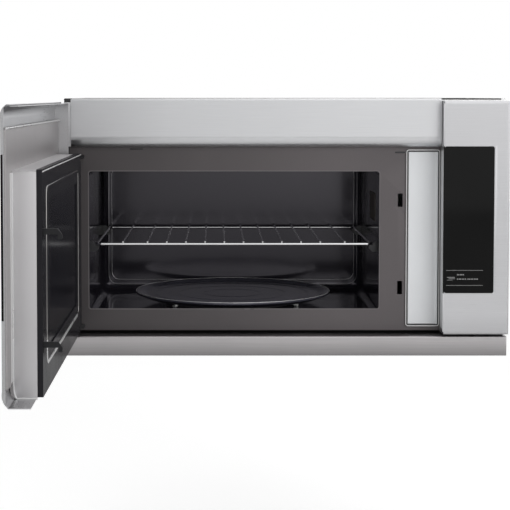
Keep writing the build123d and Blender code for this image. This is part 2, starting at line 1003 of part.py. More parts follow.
def make_blower_wheel(side):
    # A drum of blades between end rings, driven by a disc with a hub.
    low = wheel_start()
    high = low + wheel_length
    disc = across(0, 0, low, low + sheet, wheel_radius)
    disc += across(0, 0, low, low + 24, hub_radius)
    for start in (high - wheel_ring, low + wheel_length / 2):
        ring = across(0, 0, start, start + wheel_ring, wheel_radius)
        disc += ring - across(0, 0, start - 1, start + wheel_ring + 1, wheel_inner)
    blade = block(
        (low, high),
        (-wheel_blade_thickness / 2, wheel_blade_thickness / 2),
        (wheel_inner, wheel_radius - 0.5),
    )
    for index in range(wheel_blades):
        disc += Rot(index * 360 / wheel_blades, 0, 0) * blade
    disc -= across(0, 0, low - 1, high, blower_shaft_radius)
    wheel = disc if side > 0 else mirror(disc, Plane.YZ)
    return Pos(0, blower_y, blower_z) * wheel


# Filters, lamps and small parts

def make_charcoal_filter():
    return block(
        (-charcoal_length / 2, charcoal_length / 2),
        (charcoal_front, charcoal_front + charcoal_width),
        (cavity_top, cavity_top + charcoal_height),
    )


def make_grease_filter(centre):
    # A framed panel with ribbed mesh.
    low = sheet + running
    x_span = (centre - grease_length / 2, centre + grease_length / 2)
    y_span = (grease_y - grease_width / 2, grease_y + grease_width / 2)
    shape = block(x_span, y_span, (low, low + grease_height))
    count = int((grease_width - 4 * grease_rib) / grease_rib_pitch)
    for index in range(count):
        y = y_span[0] + 2 * grease_rib + (index + 0.5) * grease_rib_pitch
        shape -= block(
            (x_span[0] + 3 * grease_rib, x_span[1] - 3 * grease_rib),
            (y - grease_rib, y + grease_rib),
            (low - 1, low + grease_rib),
        )
    return shape


def make_lamp_lenses():
    lenses = []
    half = lens_size / 2
    for side in (-1, 1):
        x = side * lamp_x
        lens = block((x - half, x + half), (lamp_y - half, lamp_y + half), (sheet, sheet + lens_thickness))
        lenses.append(fillet(lens.edges().filter_by(Axis.Z), lens_lap))
    return Compound(children=lenses)


def make_cooktop_lamps():
    lamps = []
    base = lamp_y + lens_size / 2 + 4
    top = sheet + lamp_base
    for side in (-1, 1):
        x = side * lamp_x
        socket = block((x - lamp_radius, x + lamp_radius), (base, base + 14), (sheet, top))
        bulb = lying(x, top - lamp_radius, base, base - lamp_length, lamp_radius)
        bulb += Pos(x, base - lamp_length, top - lamp_radius) * Sphere(lamp_radius)
        lamps.append(socket + bulb)
    return Compound(children=lamps)


def make_cord_bush():
    shape = upright(bush_x, bush_y, case_top - 4, case_top, bush_flange)
    shape += upright(bush_x, bush_y, case_top - 4, body_height, bush_radius)
    return shape - upright(bush_x, bush_y, case_top - 5, body_height + 1, bush_bore)


# Door, closed

def curve(centre_y, centre_z, reach_y, reach_z, start_up):
    # A quarter of an ellipse about a centre, from its side point to its top or bottom point.
    diagonal = math.sqrt(0.5)
    sign = 1 if start_up else -1
    return Edge.make_three_point_arc(
        (centre_y - reach_y, centre_z),
        (centre_y - reach_y * diagonal, centre_z + sign * reach_z * diagonal),
        (centre_y, centre_z + sign * reach_z),
    )


def skin_profile(inset):
    # The skin's section: rolled top edge, flat face, rolled bottom edge with a deep flange.
    centre_y = front_face + door_edge_curve
    top_z = door_top - door_top_curve
    bottom_z = door_bottom + door_bottom_curve
    upper = curve(centre_y, top_z, door_edge_curve - inset, door_top_curve - inset, True)
    lower = curve(centre_y, bottom_z, door_edge_curve - inset, door_bottom_curve - inset, False)
    extra = 1 if inset else 0
    lip_y = centre_y + door_top_lip + extra
    end_y = front_face + door_hinge_flange + extra
    end_z = door_top - door_corner_drop - inset
    flange_y = front_face + door_bottom_flange + extra
    corners = [
        upper @ 1,
        (lip_y, door_top - inset),
        (lip_y, end_z),
        (end_y, end_z),
        (end_y, bottom_z),
        (flange_y, bottom_z),
        (flange_y, door_bottom + inset),
        lower @ 1,
    ]
    return outline(upper, *(Edge.make_line(a, b) for a, b in zip(corners, corners[1:])), lower, Edge.make_line(lower @ 0, upper @ 0))


def window_pocket(grow):
    return slab(
        front_rect(
            (window_glass_left - grow, door_right + 5), (window_glass_bottom - grow, window_glass_top + grow)
        ),
        front_face + glass_thickness + grow,
        front_face - 1,
    )


def view_hole(back, front, grow=0):
    return slab(
        front_rect((view_left - grow, view_right + grow), (view_bottom - grow, view_top + grow), view_radius),
        back,
        front,
    )


def make_door_skin():
    shape = along_x(skin_profile(0), -half_width, door_right) - window_pocket(0)
    inside = along_x(skin_profile(sheet), -half_width + sheet, door_right - sheet)
    shape -= inside - window_pocket(sheet)
    above_flange = (door_bottom + sheet, body_height)
    shape -= block(
        (-half_width - 1, -half_width + sheet), (front_face + door_hinge_flange, plate_face), above_flange
    )
    shape -= block((door_right - sheet, door_right + 1), (front_face + door_free_rim, plate_face), above_flange)
    window = (window_glass_bottom + pocket_radius, view_top)
    return shape - slab(front_rect((view_left, view_right), window, pocket_radius), plate_face, front_face)


def make_door_glass():
    sketch = front_rect(
        (window_glass_left + glass_fit, door_right), (window_glass_bottom + glass_fit, window_glass_top - glass_fit)
    )
    return slab(sketch, front_face + glass_thickness, front_face)


def liner_front():
    return front_face + glass_thickness + sheet


def liner_back():
    return liner_front() + liner_thickness


def make_door_liner():
    bottom = door_bottom + door_bottom_curve
    sketch = front_rect(
        (-half_width + sheet + slip, door_right - sheet - slip), (bottom, liner_top), pocket_radius
    )
    sketch -= front_rect((view_left, view_right), (window_glass_bottom + pocket_radius, view_top), pocket_radius)
    return slab(sketch, liner_back(), liner_front())


def hinge_notches(upper_low, lower_high, left):
    # Corners cut away where the hinge brackets reach in.
    upper = front_rect((left - 5, notch_right), (upper_low, body_height))
    lower = front_rect((left - 5, notch_right), (0, lower_high))
    return upper + lower


def block_spans():
    upper_top = upper_tab - slip
    lower_bottom = lower_tab + tab_thickness + slip
    return (upper_top - block_height, upper_top), (lower_bottom, lower_bottom + block_height)


def box_outline():
    upper, lower = block_spans()
    sketch = front_rect((box_left, box_right - sheet), (box_bottom, box_top))
    return sketch - hinge_notches(upper[0], lower[1], box_left)


def hook_bottoms():
    return upper_slot_bottom + hook_rise, lower_slot_bottom + hook_rise


def hook_gates():
    # Slots in the door's own sheets that the hooks pass through and rise in.
    gates = []
    for low in hook_bottoms():
        gates.append(front_rect((slot_left, slot_right), (low - 1, low + hook_height + latch_travel + 1)))
    return gates


def cover_back():
    return door_inner - cover_depth


def make_choke_box():
    back = cover_back()
    front = liner_back()
    shape = slab(box_outline(), back, front)
    shape -= slab(offset(box_outline(), -sheet, kind=Kind.INTERSECTION), back - sheet, front)
    shape -= view_hole(back, front)
    for gate in hook_gates():
        shape -= slab(gate, back, back - 2 * sheet)
    return shape


def make_door_screen():
    back = cover_back() - sheet
    sketch = front_rect(
        (view_left - screen_lap, view_right + screen_lap), (view_bottom - screen_lap, view_top + screen_lap)
    )
    return slab(sketch, back, back - screen_thickness)


def cover_outline():
    sketch = front_rect(
        (cover_left, box_right), (box_bottom + 0.5, box_top + cover_margin), cover_radius
    )
    return sketch - hinge_notches(upper_tab - 3, lower_tab + tab_thickness + 3, cover_left)


def make_door_inner_cover():
    # A moulded ring: a face towards the oven and a rim back to the choke box.
    shape = slab(cover_outline(), door_inner, cover_back())
    shape -= slab(
        offset(cover_outline(), -cover_wall, kind=Kind.INTERSECTION), door_inner - cover_wall, cover_back()
    )
    shape -= view_hole(door_inner, cover_back())
    ring = front_rect((ring_left, ring_right), (ring_bottom, ring_top), ring_radius)
    shape -= slab(ring - offset(ring, -ring_width), door_inner, door_inner - ring_depth)
    for gate in hook_gates():
        shape -= slab(gate, door_inner, cover_back())
    return shape


def make_inner_window():
    back = door_inner - cover_wall
    sketch = front_rect(
        (view_left - inner_glass_lap, view_right + inner_glass_lap),
        (view_bottom - inner_glass_lap, view_top + inner_glass_lap),
        view_radius,
    )
    return slab(sketch, back, back - inner_glass_thickness)


def make_grip_end_panel():
    low = box_bottom - 1
    high = box_top - 2
    shape = block((box_right - sheet, box_right), (liner_back(), cover_back()), (low, high))
    return fillet(shape.edges().filter_by(Axis.X), 1.5)


def make_hinge_block(z_span):
    y_span = (hinge_y - block_depth / 2, hinge_y + block_depth / 2)
    shape = block((block_left, notch_right), y_span, z_span)
    shape = fillet([e for e in shape.edges().filter_by(Axis.Z) if e.center().X < block_left + 1], 4)
    return shape - upright(hinge_x, hinge_y, z_span[0] - 1, z_span[1] + 1, pin_radius + running)


def hook(low):
    # A neck with a nose that drops behind the latch board.
    back = plate_back + hook_reach
    stem = cover_back() - sheet - slip - latch_bar_depth
    top = low + hook_height
    neck = top - hook_neck
    return outline(
        Edge.make_line((stem, top), (back - hook_barb, top)),
        Edge.make_line((back - hook_barb, top), (back, neck)),
        Edge.make_line((back, neck), (back, low + 1)),
        Edge.make_line((back, low + 1), (back - 1, low)),
        Edge.make_line((back - 1, low), (back - hook_barb, low)),
        Edge.make_line((back - hook_barb, low), (back - hook_barb, neck)),
        Edge.make_line((back - hook_barb, neck), (stem, neck)),
        Edge.make_line((stem, neck), (stem, top)),
    )


def latch_x():
    middle = (slot_left + slot_right) / 2
    return middle - hook_thickness / 2, middle + hook_thickness / 2


def latch_bar_spans():
    upper, lower = hook_bottoms()
    rear = cover_back() - sheet - slip
    return (rear - latch_bar_depth, rear), (lower - latch_overlap, upper + hook_height + latch_overlap)


def make_latch_bar():
    y_span, z_span = latch_bar_spans()
    shape = block(latch_x(), y_span, z_span)
    for low in hook_bottoms():
        shape += along_x(hook(low), *latch_x())
    return shape


def make_latch_spring():
    # A coil above the bar, against the top of the choke box.
    y_span, z_span = latch_bar_spans()
    low = z_span[1] + running
    x = sum(latch_x()) / 2
    y = sum(y_span) / 2
    shape = upright(x, y, low, low + spring_length, spring_radius)
    return shape - upright(x, y, low - 1, low + spring_length + 1, spring_radius - spring_wire)


body_parts = {
    "cavity": make_cavity(),
    "front_plate": make_front_plate(),
    "outer_case": make_outer_case(),
    "rear_panel": make_rear_panel(),
    "base_pan": make_base_pan(),
    "bottom_strip": make_bottom_strip(),
    "vent_band": make_vent_band(),
    "control_bezel": make_control_bezel(),
    "control_glass": make_control_glass(),
    "control_board": make_control_board(),
    "board_posts": make_board_posts(),
    "pocket_frame": make_pocket_frame(),
    "grip_pad": make_grip_pad(),
    "hinge_bracket_upper": make_hinge_bracket(upper_tab, False),
    "hinge_bracket_lower": make_hinge_bracket(lower_tab, True),
    "interlock_bracket": make_interlock_bracket(),
    "interlock_switches": make_interlock_switches(),
    "rack_supports": make_rack_supports(),
    "waveguide": make_waveguide(),
    "waveguide_cover": make_waveguide_cover(),
    "magnetron": make_magnetron(),
    "transformer": make_transformer(),
    "capacitor": make_capacitor(),
    "fan_shroud": make_fan_shroud(),
    "fan_motor": make_fan_motor(),
    "fan_wheel": make_fan_wheel(),
    "cavity_lamp": make_cavity_lamp(),
    "thermostat": make_thermostat(),
    "turntable_motor": make_turntable_motor(),
    "blower_housing": make_blower_housing(),
    "blower_motor": make_blower_motor(),
    "blower_shaft": make_blower_shaft(),
    "blower_wheel_left": make_blower_wheel(-1),
    "blower_wheel_right": make_blower_wheel(1),
    "charcoal_filter": make_charcoal_filter(),
    "grease_filter_left": make_grease_filter(grease_centres()[0]),
    "grease_filter_right": make_grease_filter(grease_centres()[1]),
    "lamp_lenses": make_lamp_lenses(),
    "cooktop_lamps": make_cooktop_lamps(),
    "cord_bush": make_cord_bush(),
    "cabinet_nuts": make_cabinet_nuts(),
    "drive_coupler": make_drive_coupler(),
    "roller_ring": make_roller_ring(),
    "turntable_tray": make_turntable_tray(),
    "wire_rack": make_wire_rack(),
}
for number in range(3):
    body_parts[f"roller_{number + 1}"] = make_roller(number)

door_parts = {
    "door_skin": make_door_skin(),
    "door_glass": make_door_glass(),
    "door_liner": make_door_liner(),
    "choke_box": make_choke_box(),
    "door_screen": make_door_screen(),
    "door_inner_cover": make_door_inner_cover(),
    "inner_window": make_inner_window(),
    "grip_end_panel": make_grip_end_panel(),
    "hinge_block_upper": make_hinge_block(block_spans()[0]),
    "hinge_block_lower": make_hinge_block(block_spans()[1]),
    "latch_bar": make_latch_bar(),
    "latch_spring": make_latch_spring(),
}

os.makedirs("parts", exist_ok=True)
for name, shape in body_parts.items():
    export_step(shape, f"parts/{name}.step")
for name, shape in door_parts.items():
    export_step(swung(shape), f"parts/{name}.step")
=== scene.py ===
import bpy
import bmesh
import json
import math
import numpy as np
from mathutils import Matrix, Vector


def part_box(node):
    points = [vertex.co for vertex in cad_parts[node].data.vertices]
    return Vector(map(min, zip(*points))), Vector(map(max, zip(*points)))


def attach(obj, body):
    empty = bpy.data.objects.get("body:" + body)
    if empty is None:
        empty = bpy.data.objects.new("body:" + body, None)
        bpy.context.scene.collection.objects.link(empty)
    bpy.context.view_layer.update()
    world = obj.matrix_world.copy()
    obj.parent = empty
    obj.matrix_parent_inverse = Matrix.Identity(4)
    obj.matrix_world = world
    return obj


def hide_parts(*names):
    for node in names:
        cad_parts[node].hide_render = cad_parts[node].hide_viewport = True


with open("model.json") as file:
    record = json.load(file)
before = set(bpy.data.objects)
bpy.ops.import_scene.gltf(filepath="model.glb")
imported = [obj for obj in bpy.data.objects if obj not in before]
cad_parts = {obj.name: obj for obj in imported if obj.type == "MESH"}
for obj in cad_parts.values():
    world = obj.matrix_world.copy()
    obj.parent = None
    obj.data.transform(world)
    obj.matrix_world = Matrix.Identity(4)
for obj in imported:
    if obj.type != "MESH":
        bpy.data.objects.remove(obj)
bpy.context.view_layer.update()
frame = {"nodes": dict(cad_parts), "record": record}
nodes = frame["nodes"]
bodyOf = {node: body for body, members in frame["record"]["behaviour"]["bodies"].items() for node in members}
slotOf = {row["node"]: row["material_slot"] for row in frame["record"]["subparts"]}
print("stage: frame loaded,", len(nodes), "nodes")

# effects shared by the finishes


def newGroup(name, inputs, outputs):
    group = bpy.data.node_groups.new(name, "ShaderNodeTree")
    for label, kind, value in inputs:
        socket = group.interface.new_socket(label, in_out="INPUT", socket_type="NodeSocket" + kind)
        if value is not None:
            socket.default_value = value
    for label in outputs:
        group.interface.new_socket(label, in_out="OUTPUT", socket_type="NodeSocketFloat")
    return group, group.nodes.new("NodeGroupInput").outputs, group.nodes.new("NodeGroupOutput").inputs


def put(tree, kind, settings, inputs):
    # One node: settings are its own, and an input is a number, a colour or another node's socket.
    made = tree.nodes.new("ShaderNode" + kind)
    for name, value in settings.items():
        setattr(made, name, value)
    for name, value in inputs.items():
        if isinstance(value, bpy.types.NodeSocket):
            tree.links.new(value, made.inputs[name])
        else:
            made.inputs[name].default_value = value
    return made


def noiseOf(tree, vector, scale, detail, rough=0.55):
    values = {"Vector": vector, "Scale": scale, "Detail": detail, "Roughness": rough}
    return put(tree, "TexNoise", {}, values).outputs["Fac"]


def spread(tree, value, low, high, toLow=0.0, toHigh=1.0):
    # Stretches low..high over toLow..toHigh and holds it there.
    ends = {"Value": value, "From Min": low, "From Max": high, "To Min": toLow, "To Max": toHigh}
    return put(tree, "MapRange", {}, ends).outputs["Result"]


def grainGroup():
    # Fine lines along the direction in which Grain is small, broken up by a slower drift.
    group, given, made = newGroup(
        "grain",
        [("Vector", "Vector", None), ("Grain", "Vector", (12, 900, 900))],
        ["Tone", "Height"],
    )
    stretched = put(
        group, "VectorMath", {"operation": "MULTIPLY"}, {0: given["Vector"], 1: given["Grain"]}
    ).outputs[0]
    fine = noiseOf(group, stretched, 1.0, 3, 0.65)
    drift = noiseOf(group, given["Vector"], 5.0, 2)
    both = put(group, "Math", {"operation": "MULTIPLY_ADD"}, {0: drift, 1: 0.35, 2: fine}).outputs[0]
    group.links.new(spread(group, both, 0.45, 0.9), made["Tone"])
    group.links.new(fine, made["Height"])
    return group


def peelGroup():
    # The slight orange peel and specks of a sprayed or enamelled coat.
    group, given, made = newGroup(
        "peel", [("Vector", "Vector", None), ("Size", "Float", 180.0)], ["Height", "Speck", "Cloud"]
    )
    group.links.new(noiseOf(group, given["Vector"], given["Size"], 2), made["Height"])
    specks = put(group, "TexVoronoi", {}, {"Vector": given["Vector"], "Scale": 1400.0}).outputs["Distance"]
    group.links.new(spread(group, specks, 0.32, 0.12), made["Speck"])
    group.links.new(spread(group, noiseOf(group, given["Vector"], 4.0, 3), 0.3, 0.7), made["Cloud"])
    return group


def smearGroup():
    # Faint wiped smears and dust that lift the roughness here and there.
    group, given, made = newGroup("smear", [("Vector", "Vector", None), ("Size", "Float", 9.0)], ["Mask"])
    tilt = put(
        group, "Mapping", {}, {"Vector": given["Vector"], "Rotation": (0.5, 0.3, 0.6), "Scale": (1, 2.6, 1.4)}
    )
    broad = noiseOf(group, tilt.outputs[0], given["Size"], 4, 0.6)
    group.links.new(spread(group, broad, 0.48, 0.72), made["Mask"])
    return group


def edgeGroup():
    # Where the surface turns outwards sharply: a rubbed edge, with a painted highlight along it.
    group, given, made = newGroup("edge", [("Start", "Float", 0.54), ("Full", "Float", 0.66)], ["Mask"])
    bend = put(group, "NewGeometry", {}, {}).outputs["Pointiness"]
    ends = {"Value": bend, "From Min": given["Start"], "From Max": given["Full"]}
    group.links.new(put(group, "MapRange", {}, ends).outputs["Result"], made["Mask"])
    return group


groups = {"grain": grainGroup(), "peel": peelGroup(), "smear": smearGroup(), "edge": edgeGroup()}
print("stage: shared effects ready")


def useGroup(tree, name, inputs):
    made = tree.nodes.new("ShaderNodeGroup")
    made.node_tree = groups[name]
    for label, value in inputs.items():
        if isinstance(value, bpy.types.NodeSocket):
            tree.links.new(value, made.inputs[label])
        else:
            made.inputs[label].default_value = value
    return made.outputs


def blendColours(tree, factor, first, second):
    made = put(tree, "Mix", {"data_type": "RGBA"}, {0: factor, 6: first, 7: second})
    return made.outputs[2]


coating = {
    "grainDepth": 0.0002,
    "peelDepth": 0.0006,
    "speckLift": 2.2,  # how much lighter a speck is than the lighter tone
    "edgeLift": 1.5,  # and a rubbed edge with its painted highlight
    "smearTop": 1.2,
}


def finish(name, tones, rough, metallic=0.0, grain=None, grainBump=0.0, peel=0.0, speck=0.0, smear=0.25,
           edge=0.15, paintedShade=None, onShader=None):
    # tones: darker and lighter colour; rough: lowest and highest roughness; fade, a painted shade: axis,
    # where it is darkest, where it ends and how dark it gets, the coat darkened where it lies in the shade of
    # its neighbour;
    # onShader: values for other sockets of the shader, by their labels.
    material = bpy.data.materials.new(name)
    material.use_nodes = True
    tree = material.node_tree
    shader = tree.nodes["Principled BSDF"]
    place = put(tree, "TexCoord", {}, {}).outputs["Object"]
    dark, light = [(*tone, 1) for tone in tones]
    if grain:
        lines = useGroup(tree, "grain", {"Vector": place, "Grain": grain})
        tone, height, strength, depth = lines["Tone"], lines["Height"], grainBump, coating["grainDepth"]
    else:
        coat = useGroup(tree, "peel", {"Vector": place})
        tone, height, strength, depth = coat["Cloud"], coat["Height"], peel, coating["peelDepth"]
    colour = blendColours(tree, tone, dark, light)
    if speck:
        flecks = useGroup(tree, "peel", {"Vector": place})["Speck"]
        flakes = put(tree, "Math", {"operation": "MULTIPLY"}, {0: flecks, 1: speck})
        pale = [min(1, value * coating["speckLift"]) for value in tones[1]]
        colour = blendColours(tree, flakes.outputs[0], colour, (*pale, 1))
    # Sharp edges turn lighter: partly rubbed wear, partly a painted highlight.
    rubbedAndHighlit = put(tree, "Math", {"operation": "MULTIPLY"}, {0: useGroup(tree, "edge", {})["Mask"], 1: edge})
    bright = [min(1, value * coating["edgeLift"]) for value in tones[1]]
    colour = blendColours(tree, rubbedAndHighlit.outputs[0], colour, (*bright, 1))
    # Painted shade: the colour darkens along one axis where less light falls.
    if paintedShade:
        axis, start, end, least = paintedShade
        along = put(tree, "SeparateXYZ", {}, {"Vector": place}).outputs[axis]
        shade = spread(tree, along, start, end, least, 1.0)
        darken = {"data_type": "RGBA", "blend_type": "MULTIPLY"}
        colour = put(tree, "Mix", darken, {0: 1.0, 6: colour, 7: shade}).outputs[2]
    tree.links.new(colour, shader.inputs["Base Color"])
    shader.inputs["Metallic"].default_value = metallic
    smears = useGroup(tree, "smear", {"Vector": place})["Mask"]
    wiped = put(tree, "Math", {"operation": "MULTIPLY_ADD"}, {0: smears, 1: smear, 2: tone})
    dulled = spread(tree, wiped.outputs[0], 0, coating["smearTop"], *rough)
    tree.links.new(dulled, shader.inputs["Roughness"])
    if strength:
        bump = put(tree, "Bump", {}, {"Strength": strength, "Distance": depth, "Height": height})
        tree.links.new(bump.outputs[0], shader.inputs["Normal"])
    for label, value in (onShader or {}).items():
        shader.inputs[label].default_value = value
    return material


# camera and light

view = {
    "place": (-0.1206, -2.908, 0.444),
    "lens": 103.8,
    "sensor": 36.0,
    "pitch": 3.0,
    "shiftX": 0.0795,
    "shiftY": -0.1608,
}
cameraData = bpy.data.cameras.new("camera")
cameraData.lens = view["lens"]
cameraData.sensor_width = view["sensor"]
cameraData.shift_x = view["shiftX"]
cameraData.shift_y = view["shiftY"]
camera = bpy.data.objects.new("camera", cameraData)
camera.location = view["place"]
camera.rotation_euler = (math.radians(90 - view["pitch"]), 0, 0)
bpy.context.scene.collection.objects.link(camera)
bpy.context.scene.camera = camera

studio = {
    "diffuseLevel": 0.5,
    "glossLeft": 0.58,
    "glossRight": 1.25,
    "glossUnder": 0.4,
    "turnsAt": (-0.15, 0.1),
    "horizonAt": (-0.35, 0.02),
    "lamps": [
        # name, place, aims at, width, height, watts
        ("keyLamp", (1.5, -2.7, 1.5), (0, -0.3, 0.2), 1.6, 1.4, 34),
        ("fillLamp", (-0.9, -3.0, 1.0), (0, -0.4, 0.2), 1.6, 1.6, 8),
        ("topLamp", (0.3, -0.6, 2.4), (0, -0.4, 0.2), 2.4, 1.6, 14),
    ],
    "floorLevel": -0.42,
    "floorReach": 9.0,
    "floorGlow": 0.5,
    "floorTone": 0.8,
    "floorRough": 0.9,
}


def aimed(place, target):
    # Turns the lamp's own -Z towards the target.
    return (Vector(target) - Vector(place)).to_track_quat("-Z", "Y").to_euler()


for name, place, target, width, height, watts in studio["lamps"]:
    lampData = bpy.data.lights.new(name, "AREA")
    lampData.shape = "RECTANGLE"
    lampData.size = width
    lampData.size_y = height
    lampData.energy = watts
    lamp = bpy.data.objects.new(name, lampData)
    lamp.visible_glossy = False  # metal and glass show the room, not the lamps
    lamp.location = place
    lamp.rotation_euler = aimed(place, target)
    bpy.context.scene.collection.objects.link(lamp)

world = bpy.data.worlds.new("studioWorld")
bpy.context.scene.world = world
world.use_nodes = True
tree = world.node_tree
tree.nodes.clear()
seenBy = put(tree, "LightPath", {}, {})
toward = put(tree, "TexCoord", {}, {}).outputs["Generated"]
parts = put(tree, "SeparateXYZ", {}, {"Vector": toward})
# Gloss sees a room that is brighter to the right and darker under the horizon.
across = spread(tree, parts.outputs["X"], *studio["turnsAt"], studio["glossLeft"], studio["glossRight"])
under = spread(tree, parts.outputs["Z"], *studio["horizonAt"], studio["glossUnder"], 1.0)
room = put(tree, "Math", {"operation": "MULTIPLY"}, {0: across, 1: under}).outputs[0]
gloss = put(tree, "Background", {}, {"Strength": room})
plain = put(tree, "Background", {}, {"Strength": studio["diffuseLevel"]})
white = put(tree, "Background", {}, {"Strength": 1.0})
for shader in (gloss, plain, white):
    shader.inputs["Color"].default_value = (1, 1, 1, 1)
lit = put(
    tree, "MixShader", {}, {0: seenBy.outputs["Is Glossy Ray"], 1: plain.outputs[0], 2: gloss.outputs[0]}
)
clear = put(
    tree, "Math", {"operation": "MAXIMUM"},
    {0: seenBy.outputs["Is Camera Ray"], 1: seenBy.outputs["Is Transmission Ray"]}
)
whole = put(tree, "MixShader", {}, {0: clear.outputs[0], 1: lit.outputs[0], 2: white.outputs[0]})
put(tree, "OutputWorld", {}, {"Surface": whole.outputs[0]})

bpy.context.scene.view_settings.view_transform = "Standard"

# finishes

